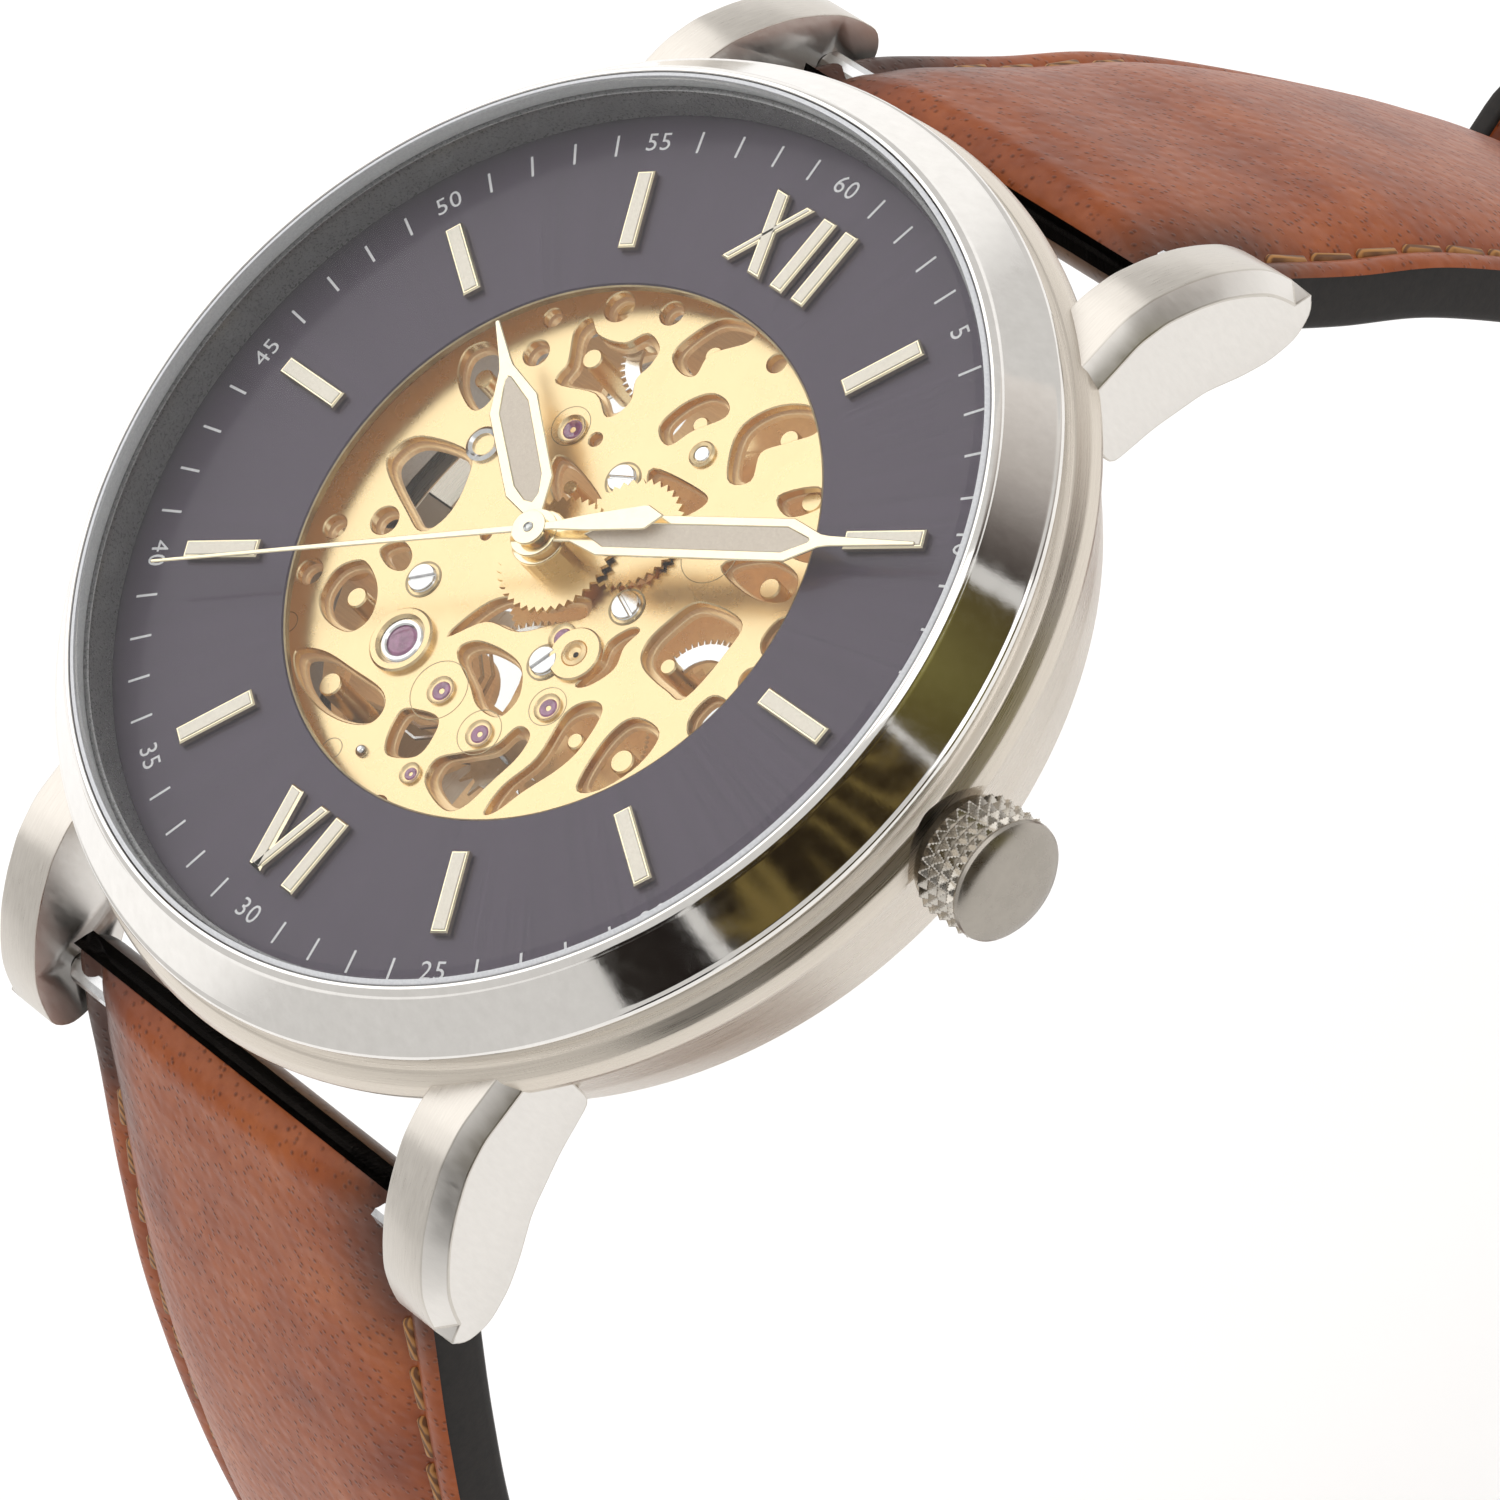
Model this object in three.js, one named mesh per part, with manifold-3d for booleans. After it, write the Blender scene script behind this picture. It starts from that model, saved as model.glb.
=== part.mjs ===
// Skeleton automatic wristwatch on a padded leather strap, curled as worn, with the buckle open.
// Millimetres. +Z points out of the dial, +Y to 12 o'clock, +X to the crown at 3 o'clock.
// The origin is on the dial axis, in the flat outer face of the case back.
import * as THREE from 'three';
import { mergeVertices } from 'three/addons/utils/BufferGeometryUtils.js';
import Module from 'manifold-3d';

const wasm = await Module();
wasm.setup();

// Driving dimensions.
const CASE_R = 22.0;
const LUG_INNER_X = 11.15;
const LUG_OUTER_X = 14.2;
const BAR_Y = 23.0;
const BAR_Z = 2.3;
const STRAP_WIDTH = 21.6;
const STRAP_TAPER = 0.09;
const STEM_Z = 5.7;
const STEM_R = 0.4;
const CROWN_R = 2.45;
const DIAL_TOP = 9.3;
const DIAL_R = 19.1;
const WINDOW_R = 11.5;
const INDEX_IN = 12.95;
const INDEX_OUT = 16.35;
const INDEX_TOP = 9.7;
const MOVEMENT_R = 13.2;
const HOUR_HAND_Z = 9.95;
const MINUTE_HAND_Z = 10.4;
const SECONDS_HAND_Z = 10.85;
const HOUR_ANGLE = 305.0;
const MINUTE_ANGLE = 62.0;
const SECONDS_ANGLE = 236.0;
const BUCKLE_BAR_Y = 37.9;
const BUCKLE_BAR_Z = -69.5;
const BUCKLE_LEAN = THREE.MathUtils.degToRad(70);

// Train: teeth and places of the wheels, seen from the dial.
const CENTRE = { x: 0, y: 0 };
const BARREL = { x: 4.42, y: 4.81 };
const THIRD = { x: 2.63, y: -2.18 };
const FOURTH = { x: 4.56, y: -5.0 };
const ESCAPE = { x: 2.6, y: -7.2 };
const PALLET = { x: -0.35, y: -6.75 };
const BALANCE = { x: -3.65, y: -6.0 };
const MINUTE = { x: 1.9, y: 2.32 };
const CROWN_WHEEL = { x: 8.9, y: 1.7 };

const ROUND = 40;
const SMALL_ROUND = 16;
const GEAR_ADDENDUM = 0.8;
const GEAR_DEDENDUM = 1.1;

const steel = { color: 0xd8cfc4, roughness: 0.3, metalness: 1 };
const brushed = { color: 0xc4bab0, roughness: 0.45, metalness: 1 };
const gilt = { color: 0xe3c98a, roughness: 0.3, metalness: 1 };
const brass = { color: 0xc9a452, roughness: 0.35, metalness: 1 };
const darkSteel = { color: 0x8f9094, roughness: 0.35, metalness: 1 };
const dialPaint = { color: 0x3d3a4a, roughness: 0.45, metalness: 0.2 };
const rehautPaint = { color: 0x55535a, roughness: 0.3, metalness: 0.6 };
const clear = { color: 0xf4f7fa, roughness: 0.03, metalness: 0, transparent: true, opacity: 0.3 };
const rubber = { color: 0x202022, roughness: 0.8, metalness: 0 };
const plastic = { color: 0xbfc1c4, roughness: 0.5, metalness: 0 };
const leather = { color: 0x9a6448, roughness: 0.6, metalness: 0 };

const watch = new THREE.Group();

// Geometry helpers.

// One closed body: shared vertices, no zero-area faces, faces pointing out.
function closed(geometry) {
  const bare = geometry.clone();
  bare.deleteAttribute('normal');
  bare.deleteAttribute('uv');
  const merged = mergeVertices(bare, 1e-4);
  const index = merged.index.array;
  const kept = [];
  for (let i = 0; i < index.length; i += 3) {
    const [a, b, c] = [index[i], index[i + 1], index[i + 2]];
    if (a !== b && b !== c && c !== a) {
      kept.push(a, b, c);
    }
  }
  if (signedVolume(merged.attributes.position, kept) < 0) {
    kept.reverse();
  }
  merged.setIndex(kept);
  return merged;
}

function signedVolume(position, index) {
  const [a, b, c] = [new THREE.Vector3(), new THREE.Vector3(), new THREE.Vector3()];
  let sum = 0;
  for (let i = 0; i < index.length; i += 3) {
    a.fromBufferAttribute(position, index[i]);
    b.fromBufferAttribute(position, index[i + 1]);
    c.fromBufferAttribute(position, index[i + 2]);
    sum += a.dot(b.cross(c));
  }
  return sum / 6;
}

function toManifold(geometry) {
  const solid = closed(geometry);
  return new wasm.Manifold(new wasm.Mesh({
    numProp: 3,
    vertProperties: Float32Array.from(solid.attributes.position.array),
    triVerts: Uint32Array.from(solid.index.array),
  }));
}

function fromManifold(solid) {
  const mesh = solid.getMesh();
  const geometry = new THREE.BufferGeometry();
  geometry.setAttribute('position', new THREE.BufferAttribute(mesh.vertProperties, 3));
  geometry.setIndex(Array.from(mesh.triVerts));
  return geometry;
}

function join(...geometries) {
  const solids = geometries.map(toManifold);
  return fromManifold(solids.reduce((whole, piece) => whole.add(piece)));
}

function cut(geometry, ...tools) {
  const solids = tools.map(toManifold);
  return fromManifold(solids.reduce((whole, tool) => whole.subtract(tool), toManifold(geometry)));
}

// A body turned about Z from [radius, z] points; a ring's profile closes on itself.
function turned(profile, segments = ROUND) {
  const points = profile.map(([r, z]) => new THREE.Vector2(r, z));
  return new THREE.LatheGeometry(points, segments).rotateX(Math.PI / 2);
}

function ring(inner, outer, low, high, segments = ROUND) {
  return turned([[inner, low], [outer, low], [outer, high], [inner, high], [inner, low]], segments);
}

function disc(radius, low, high, segments = SMALL_ROUND) {
  return turned([[0, low], [radius, low], [radius, high], [0, high]], segments);
}

function discAt(place, radius, low, high, segments = SMALL_ROUND) {
  return disc(radius, low, high, segments).translate(place.x, place.y, 0);
}

// A round rod along X.
function rodX(radius, from, to, y, z, segments = SMALL_ROUND) {
  return disc(radius, from, to, segments).rotateY(Math.PI / 2).translate(0, y, z);
}

function box(x0, x1, y0, y1, z0, z1) {
  return new THREE.BoxGeometry(x1 - x0, y1 - y0, z1 - z0)
    .translate((x0 + x1) / 2, (y0 + y1) / 2, (z0 + z1) / 2);
}

function outline(points) {
  return new THREE.Shape(points.map(([x, y]) => new THREE.Vector2(x, y)));
}

function slab(shape, low, high, curveSegments = 12) {
  const options = { depth: high - low, bevelEnabled: false, curveSegments };
  return new THREE.ExtrudeGeometry(shape, options).translate(0, 0, low);
}

// A shape drawn in (y, z), extruded along X from x0 to x1.
function sideSlab(shape, x0, x1, curveSegments = 12) {
  return slab(shape, x0, x1, curveSegments)
    .applyMatrix4(new THREE.Matrix4().set(0, 0, 1, 0, 1, 0, 0, 0, 0, 1, 0, 0, 0, 0, 0, 1));
}

function roundHole(shape, x, y, radius) {
  const hole = new THREE.Path();
  hole.absarc(x, y, radius, 0, 2 * Math.PI, true);
  shape.holes.push(hole);
}

function circle(radius) {
  const shape = new THREE.Shape();
  shape.absarc(0, 0, radius, 0, 2 * Math.PI, false);
  return shape;
}

function add(name, geometry, look) {
  const mesh = new THREE.Mesh(closed(geometry), new THREE.MeshStandardMaterial(look));
  mesh.name = name;
  watch.add(mesh);
}

// Gears.

function gearShape(teeth, pitchRadius, phase) {
  const module = (2 * pitchRadius) / teeth;
  const points = [];
  for (let i = 0; i < teeth; i += 1) {
    const tip = phase + (2 * Math.PI * i) / teeth;
    const root = tip + Math.PI / teeth;
    const tipR = pitchRadius + GEAR_ADDENDUM * module;
    const rootR = pitchRadius - GEAR_DEDENDUM * module;
    points.push([tipR * Math.cos(tip), tipR * Math.sin(tip)]);
    points.push([rootR * Math.cos(root), rootR * Math.sin(root)]);
  }
  return outline(points);
}

function gear(place, teeth, pitchRadius, phase, low, high, holeRadius = 0) {
  const shape = gearShape(teeth, pitchRadius, phase);
  if (holeRadius > 0) {
    roundHole(shape, 0, 0, holeRadius);
  }
  return slab(shape, low, high, 6).translate(place.x, place.y, 0);
}

function direction(from, to) {
  return Math.atan2(to.y - from.y, to.x - from.x);
}

function distance(from, to) {
  return Math.hypot(to.x - from.x, to.y - from.y);
}

// Phase that puts a gap of the other gear over the nearest tooth of this one.
function meshedPhase(place, teeth, phase, otherPlace, otherTeeth) {
  const line = direction(place, otherPlace);
  const pitch = (2 * Math.PI) / teeth;
  const turn = phase - line;
  const offset = turn - pitch * Math.round(turn / pitch);
  return line + Math.PI - (offset * teeth) / otherTeeth + Math.PI / otherTeeth;
}

// Case.

function lug(sideX, sideY) {
  const side = [
    [15.3, 8.2], [19.3, 7.9], [22.2, 6.4], [24.2, 4.4], [25.3, 2.4], [25.6, 1.2],
    [25.1, 0.4], [24.0, 0.1], [22.6, 0.5], [21.4, 1.2], [19.9, 2.3], [17.5, 3.3], [15.3, 3.9],
  ];
  const shape = outline(side.map(([y, z]) => [y * sideY, z]));
  const from = sideX > 0 ? LUG_INNER_X : -LUG_OUTER_X;
  return sideSlab(shape, from, from + LUG_OUTER_X - LUG_INNER_X);
}

function caseMiddle() {
  const body = turned([
    [18.65, 0.9], [19.3, 1.2], [21.3, 6.6], [21.85, 6.8], [CASE_R, 7.3], [21.5, 8.45],
    [20.9, 8.65], [20.9, 9.0], [19.4, 9.0], [19.4, 8.85], [17.8, 8.85], [17.8, 2.5],
    [18.65, 2.5], [18.65, 0.9],
  ]);
  const lugs = [lug(1, 1), lug(-1, 1), lug(1, -1), lug(-1, -1)];
  const barHole = 0.5;
  const holeEnd = LUG_INNER_X + 1.1;
  return cut(
    join(body, ...lugs),
    rodX(1.0, 16, 23, 0, STEM_Z),
    rodX(CROWN_R + 0.3, 21.2, 26, 0, STEM_Z),
    rodX(barHole, -holeEnd, holeEnd, BAR_Y, BAR_Z, 8),
    rodX(barHole, -holeEnd, holeEnd, -BAR_Y, BAR_Z, 8),
  );
}

function bezel() {
  return turned([
    [19.55, 9.1], [21.2, 9.1], [21.42, 9.35], [21.4, 9.6], [20.75, 10.65],
    [19.85, 11.6], [19.55, 11.75], [19.55, 9.1],
  ]);
}

function crystal() {
  return turned([[0, 11.15], [19.25, 11.15], [19.25, 11.8], [19.0, 12.0], [0, 12.0]]);
}

function caseBack() {
  return turned([
    [13.1, 0], [17.9, 0], [18.4, 0.4], [18.4, 2.1], [17.2, 2.1], [13.1, 1.5], [13.1, 0],
  ]);
}

// Dial and indexes.

function polar(radius, clockDegrees, z = 0) {
  const angle = THREE.MathUtils.degToRad(90 - clockDegrees);
  return new THREE.Vector3(radius * Math.cos(angle), radius * Math.sin(angle), z);
}

function baton(clockDegrees) {
  const width = 0.9;
  const bar = box(-width / 2, width / 2, INDEX_IN, INDEX_OUT, DIAL_TOP + 0.05, INDEX_TOP);
  return bar.rotateZ(THREE.MathUtils.degToRad(-clockDegrees));
}

// A sloping stroke of a roman numeral; x is its middle at the inner and the outer end.
function stroke(xInner, xOuter, width) {
  const half = width / 2;
  const shape = outline([
    [xInner - half, INDEX_IN], [xInner + half, INDEX_IN],
    [xOuter + half, INDEX_OUT], [xOuter - half, INDEX_OUT],
  ]);
  return slab(shape, DIAL_TOP + 0.05, INDEX_TOP);
}

function numeral(strokes, webFrom, webTo) {
  const middle = (INDEX_IN + INDEX_OUT) / 2;
  const web = box(webFrom, webTo, middle - 0.25, middle + 0.25, DIAL_TOP + 0.05, DIAL_TOP + 0.15);
  return join(web, ...strokes);
}

function numeralTwelve() {
  const strokes = [
    stroke(-0.55, -2.05, 0.75), stroke(-2.25, -0.4, 0.35), stroke(0.75, 0.75, 0.75), stroke(2.0, 2.0, 0.75),
  ];
  return numeral(strokes, -1.4, 2.0);
}

// Its V points at the rim, so the six reads upright from the centre of the dial.
function numeralSix() {
  const strokes = [stroke(1.75, 0.9, 0.75), stroke(0.0, 0.9, 0.4), stroke(-1.05, -1.05, 0.75)];
  return numeral(strokes, -1.05, 1.3).rotateZ(Math.PI);
}

// Hands. Each outline is drawn pointing to 12 and mirrored about its axis.

function handBlank(halfOutline, hubRadius, hubHole, z, thickness, clockDegrees) {
  const right = halfOutline.map(([x, y]) => [x, y]);
  const left = halfOutline.map(([x, y]) => [-x, y]).reverse();
  const blade = slab(outline([...right, ...left.slice(1)]), z, z + thickness);
  const whole = join(blade, disc(hubRadius, z, z + thickness));
  const bored = hubHole > 0 ? cut(whole, disc(hubHole, z - 1, z + 1)) : whole;
  return bored.rotateZ(THREE.MathUtils.degToRad(-clockDegrees));
}

function hourHand() {
  const half = [[0.35, 0], [0.35, 2.2], [1.05, 3.6], [1.05, 7.2], [0.28, 8.4], [0.12, 10.8], [0, 10.8]];
  return handBlank(half, 1.75, 1.3, HOUR_HAND_Z, 0.15, HOUR_ANGLE);
}

function minuteHand() {
  const half = [[0.3, 0], [0.3, 2.6], [0.85, 4.0], [0.85, 11.0], [0.25, 12.4], [0.1, 16.6], [0, 16.6]];
  return handBlank(half, 1.35, 0.9, MINUTE_HAND_Z, 0.12, MINUTE_ANGLE);
}

function secondsHand() {
  const half = [[0.28, -4.4], [0.55, -3.4], [0.16, -1.2], [0.13, 0], [0.06, 17.0], [0, 17.0]];
  return handBlank([[0.12, -5.8], ...half], 0.75, 0, SECONDS_HAND_Z, 0.1, SECONDS_ANGLE);
}

// Movement plates.

function mainPlate() {
  const shape = circle(MOVEMENT_R);
  const windows = [
    [0, 0, 0.6], [-8.0, 0.6, 2.2], [1.6, -4.6, 1.0], [5.2, -9.0, 1.9], [-4.4, 8.0, 2.2],
    [8.9, -2.6, 1.7], [3.6, 8.2, 2.1], [9.6, 3.4, 1.6], [-8.6, -6.2, 1.5], [-3.4, 1.6, 1.6],
  ];
  for (const [x, y, radius] of windows) {
    roundHole(shape, x, y, radius);
  }
  roundHole(shape, BALANCE.x, BALANCE.y, 1.15);
  const plate = slab(shape, 7.3, 8.15, 6);
  const pillars = [125, 200, 285, 340].map((degrees) => {
    const angle = THREE.MathUtils.degToRad(degrees);
    return discAt({ x: 12.1 * Math.cos(angle), y: 12.1 * Math.sin(angle) }, 0.8, 4.4, 7.4, 12);
  });
  return join(plate, ...pillars);
}

function trainBridge() {
  const bridge = new THREE.Shape();
  bridge.absarc(0, 0, 12.9, THREE.MathUtils.degToRad(-80), THREE.MathUtils.degToRad(150), false);
  bridge.lineTo(-4.6, 1.2);
  bridge.lineTo(0.4, -3.6);
  for (const place of [CENTRE, THIRD, FOURTH, BARREL, CROWN_WHEEL]) {
    roundHole(bridge, place.x, place.y, 0.3);
  }
  for (const [x, y, radius] of [[-5.4, 7.4, 2.4], [0.4, 9.8, 1.5], [8.7, -4.6, 1.9]]) {
    roundHole(bridge, x, y, radius);
  }
  return slab(bridge, 3.75, 4.3, 6);
}

function balanceCock() {
  const cock = new THREE.Shape();
  cock.absarc(BALANCE.x, BALANCE.y, 1.9, THREE.MathUtils.degToRad(-60), THREE.MathUtils.degToRad(120), false);
  cock.lineTo(-11.3, -2.2);
  cock.absarc(0, 0, 12.6, THREE.MathUtils.degToRad(192), THREE.MathUtils.degToRad(226), false);
  roundHole(cock, BALANCE.x, BALANCE.y, 0.3);
  return slab(cock, 3.75, 4.3, 10);
}

function autoBridge() {
  const bridge = circle(4.2);
  roundHole(bridge, 0, 0, 0.9);
  const arms = [30, 150, 270].map((degrees) => {
    const arm = box(3.5, 10.2, -0.9, 0.9, 2.75, 3.2);
    return arm.rotateZ(THREE.MathUtils.degToRad(degrees));
  });
  return join(slab(bridge, 2.75, 3.2, 10), ...arms);
}

function movementRing() {
  const spacer = ring(13.4, 17.55, 3.0, 8.7);
  return cut(spacer, rodX(1.0, 12, 19, 0, STEM_Z));
}

function rotor() {
  const weight = new THREE.Shape();
  weight.absarc(0, 0, 12.7, Math.PI, 2 * Math.PI, false);
  weight.absarc(0, 0, 10.6, 2 * Math.PI, Math.PI, true);
  const web = new THREE.Shape();
  web.absarc(0, 0, 10.9, THREE.MathUtils.degToRad(200), THREE.MathUtils.degToRad(340), false);
  web.absarc(0, 0, 1.8, THREE.MathUtils.degToRad(-20), THREE.MathUtils.degToRad(200), false);
  roundHole(web, -4.0, -5.0, 1.7);
  roundHole(web, 4.0, -5.0, 1.7);
  roundHole(web, 0, -6.6, 1.7);
  const plate = join(slab(weight, 1.85, 2.6, 14), slab(web, 2.05, 2.45, 8));
  return cut(plate, disc(0.8, 1, 4));
}

function rotorScrew() {
  return join(disc(1.2, 1.6, 1.95), disc(0.6, 1.8, 3.15));
}

// Going train. Every wheel is one solid with its pinion and its arbor.

const RATIO = { barrel: 72, centrePinion: 12, centre: 64, third: 60, fourth: 84, leaves: 8, escape: 7 };

function pitchRadius(from, to, teeth, otherTeeth) {
  return (distance(from, to) * teeth) / (teeth + otherTeeth);
}

const centrePhase = direction(CENTRE, THIRD);
const centrePinionPhase = direction(CENTRE, BARREL);
const thirdPhase = direction(THIRD, CENTRE);
const fourthPhase = direction(FOURTH, ESCAPE);

function barrel() {
  const r = pitchRadius(BARREL, CENTRE, RATIO.barrel, RATIO.centrePinion);
  const phase = meshedPhase(CENTRE, RATIO.centrePinion, centrePinionPhase, BARREL, RATIO.barrel);
  return join(
    gear(BARREL, RATIO.barrel, r, phase, 5.7, 6.1),
    discAt(BARREL, r - 0.45, 4.95, 6.3, 28),
    discAt(BARREL, 0.55, 4.6, 7.0, 12),
  );
}

function centreWheel() {
  const pinionR = pitchRadius(CENTRE, BARREL, RATIO.centrePinion, RATIO.barrel);
  const wheelR = pitchRadius(CENTRE, THIRD, RATIO.centre, RATIO.leaves);
  const solid = join(
    gear(CENTRE, RATIO.centrePinion, pinionR, centrePinionPhase, 5.6, 6.5),
    gear(CENTRE, RATIO.centre, wheelR, centrePhase, 6.45, 6.65),
    disc(0.45, 5.3, 9.4, 16),
  );
  return cut(solid, disc(0.27, 4, 10, 12));
}

function thirdWheel() {
  const pinionR = pitchRadius(THIRD, CENTRE, RATIO.leaves, RATIO.centre);
  const wheelR = pitchRadius(THIRD, CENTRE, RATIO.third, RATIO.leaves);
  const pinionPhase = meshedPhase(CENTRE, RATIO.centre, centrePhase, THIRD, RATIO.leaves);
  return join(
    gear(THIRD, RATIO.leaves, pinionR, pinionPhase, 6.35, 6.75),
    gear(THIRD, RATIO.third, wheelR, thirdPhase, 4.55, 4.72),
    discAt(THIRD, 0.18, 4.45, 7.1, 10),
  );
}

function secondsPinion() {
  const r = pitchRadius(CENTRE, THIRD, RATIO.leaves, RATIO.third);
  const phase = meshedPhase(THIRD, RATIO.third, thirdPhase, CENTRE, RATIO.leaves);
  return join(gear(CENTRE, RATIO.leaves, r, phase, 4.45, 4.85), disc(0.17, 4.4, 10.75, 10));
}

function fourthWheel() {
  const pinionR = pitchRadius(FOURTH, THIRD, RATIO.leaves, RATIO.third);
  const wheelR = pitchRadius(FOURTH, ESCAPE, RATIO.fourth, RATIO.escape);
  const phase = meshedPhase(THIRD, RATIO.third, thirdPhase, FOURTH, RATIO.leaves);
  return join(
    gear(FOURTH, RATIO.leaves, pinionR, phase, 4.45, 4.85),
    gear(FOURTH, RATIO.fourth, wheelR, fourthPhase, 5.6, 5.78),
    discAt(FOURTH, 0.15, 4.4, 7.1, 10),
  );
}

function escapeWheel() {
  const pinionR = pitchRadius(ESCAPE, FOURTH, RATIO.escape, RATIO.fourth);
  const phase = meshedPhase(FOURTH, RATIO.fourth, fourthPhase, ESCAPE, RATIO.escape);
  const teeth = 15;
  const points = [];
  for (let i = 0; i < teeth; i += 1) {
    const angle = (2 * Math.PI * i) / teeth;
    points.push([1.95 * Math.cos(angle), 1.95 * Math.sin(angle)]);
    points.push([1.4 * Math.cos(angle + 0.08), 1.4 * Math.sin(angle + 0.08)]);
    points.push([1.4 * Math.cos(angle + 0.3), 1.4 * Math.sin(angle + 0.3)]);
  }
  const wheel = slab(outline(points), 6.5, 6.64).translate(ESCAPE.x, ESCAPE.y, 0);
  return join(
    wheel,
    gear(ESCAPE, RATIO.escape, pinionR, phase, 5.5, 5.9),
    discAt(ESCAPE, 0.12, 4.6, 7.1, 10),
  );
}

// The lever lies clear of the wheel and the roller, so that each may turn by itself.
function palletFork() {
  const toBalance = direction(PALLET, BALANCE);
  const shape = outline([
    [-0.25, -0.9], [0.25, -0.9], [0.3, -0.2], [2.1, -0.12], [2.35, -0.3], [2.35, 0.3],
    [2.1, 0.12], [0.3, 0.2], [0.25, 0.9], [-0.25, 0.9], [-0.3, 0.2], [-0.3, -0.2],
  ]);
  const lever = slab(shape, 6.5, 6.64).rotateZ(toBalance).translate(PALLET.x, PALLET.y, 0);
  return join(lever, discAt(PALLET, 0.12, 5.2, 7.1, 10));
}

function balanceWheel() {
  const rim = ring(4.05, 4.5, 5.3, 5.75, 32);
  const arm = box(-4.2, 4.2, -0.3, 0.3, 5.4, 5.6);
  const staff = disc(0.16, 4.4, 7.25, 10);
  const roller = disc(0.55, 6.45, 6.6, 16);
  return join(rim, arm, staff, roller).translate(BALANCE.x, BALANCE.y, 0);
}

function hairspring() {
  const turns = 4;
  const steps = 40;
  const edge = (offset) => Array.from({ length: steps + 1 }, (_, i) => {
    const angle = (turns * 2 * Math.PI * i) / steps;
    const radius = 0.75 + (1.9 * i) / steps + offset;
    return [radius * Math.cos(angle), radius * Math.sin(angle)];
  });
  const shape = outline([...edge(0.05), ...edge(-0.05).reverse()]);
  const collet = ring(0.3, 0.82, 4.9, 5.05, 12);
  return join(slab(shape, 4.9, 5.05), collet).translate(BALANCE.x, BALANCE.y, 0);
}

// Motion work, on the dial side.

const MOTION = { cannon: 12, minute: 36, leaves: 10, hour: 40 };
const minuteWheelPhase = direction(MINUTE, CENTRE);

function cannonPinion() {
  const r = pitchRadius(CENTRE, MINUTE, MOTION.cannon, MOTION.minute);
  const phase = meshedPhase(MINUTE, MOTION.minute, minuteWheelPhase, CENTRE, MOTION.cannon);
  const tube = ring(0.55, 0.8, 8.55, 10.5, 20);
  return join(gear(CENTRE, MOTION.cannon, r + 0.02, phase, 8.25, 8.6, 0.55), tube);
}

function minuteWheel() {
  const wheelR = pitchRadius(MINUTE, CENTRE, MOTION.minute, MOTION.cannon);
  const pinionR = pitchRadius(MINUTE, CENTRE, MOTION.leaves, MOTION.hour);
  return join(
    gear(MINUTE, MOTION.minute, wheelR, minuteWheelPhase, 8.3, 8.48, 0.2),
    gear(MINUTE, MOTION.leaves, pinionR, minuteWheelPhase, 8.4, 8.85, 0.2),
  );
}

function hourWheel() {
  const r = pitchRadius(CENTRE, MINUTE, MOTION.hour, MOTION.leaves);
  const phase = meshedPhase(MINUTE, MOTION.leaves, minuteWheelPhase, CENTRE, MOTION.hour);
  const tube = ring(0.92, 1.2, 8.7, 10.05, 20);
  return join(gear(CENTRE, MOTION.hour, r, phase, 8.65, 8.83, 0.92), tube);
}

// Winding work and crown.

const WINDING = { ratchet: 48, crownWheel: 28 };
const crownWheelPhase = direction(CROWN_WHEEL, BARREL);

function ratchetWheel() {
  const r = pitchRadius(BARREL, CROWN_WHEEL, WINDING.ratchet, WINDING.crownWheel);
  const phase = meshedPhase(CROWN_WHEEL, WINDING.crownWheel, crownWheelPhase, BARREL, WINDING.ratchet);
  return gear(BARREL, WINDING.ratchet, r, phase, 4.5, 4.72, 0.75);
}

function crownWheel() {
  const r = pitchRadius(CROWN_WHEEL, BARREL, WINDING.crownWheel, WINDING.ratchet);
  return join(
    gear(CROWN_WHEEL, WINDING.crownWheel, r, crownWheelPhase, 4.5, 4.72),
    discAt(CROWN_WHEEL, 0.2, 3.8, 4.6, 10),
  );
}

// A toothed sleeve that the stem passes through.
function stemSleeve(from, to, radius) {
  const shape = gearShape(14, radius, 0);
  roundHole(shape, 0, 0, STEM_R + 0.08);
  return slab(shape, from, to, 4).rotateY(Math.PI / 2).translate(0, 0, STEM_Z);
}

function crown() {
  const profile = [
    [0, 23.0], [0.65, 23.0], [0.65, 21.7], [2.25, 21.7], [CROWN_R, 21.9], [CROWN_R, 24.0],
    [2.2, 24.3], [1.2, 24.62], [0, 24.7],
  ];
  return turned(profile, 20).rotateY(Math.PI / 2).translate(0, 0, STEM_Z);
}

function stemGasket() {
  return ring(0.62, 0.9, 19.0, 19.6, 20).rotateY(Math.PI / 2).translate(0, 0, STEM_Z);
}

// Strap. Its middle line is a curve in the (y, z) plane, from the spring bar to its end.

const LINE_12 = [
  [BAR_Y, BAR_Z], [24.9, -0.3], [28.1, -4.9], [31.4, -9.3], [37.3, -20.2], [41.0, -28.5],
  [43.3, -36.5], [43.6, -45.0], [42.6, -54.0], [40.6, -62.0], [BUCKLE_BAR_Y, BUCKLE_BAR_Z],
];
const LINE_6 = [
  [-BAR_Y, BAR_Z], [-24.4, -0.6], [-28.0, -7.2], [-30.7, -12.8], [-34.4, -23.0], [-36.6, -32.5],
  [-37.3, -42.0], [-37.0, -51.5], [-35.6, -61.0], [-32.6, -70.0], [-27.6, -77.5], [-20.8, -82.8], [-12.8, -85.2],
];
const STRAP_STEPS = 22;

function middleLine(points) {
  return new THREE.CatmullRomCurve3(points.map(([y, z]) => new THREE.Vector3(0, y, z)), false, 'centripetal');
}

// Half of the strap's thickness, from a rolled end, through the padding, to the flat end.
function halfThickness(t) {
  const padded = 1.9 - 0.75 * THREE.MathUtils.smoothstep(t, 0.25, 0.75);
  return t < 0.04 ? 1.65 : padded;
}

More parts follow.
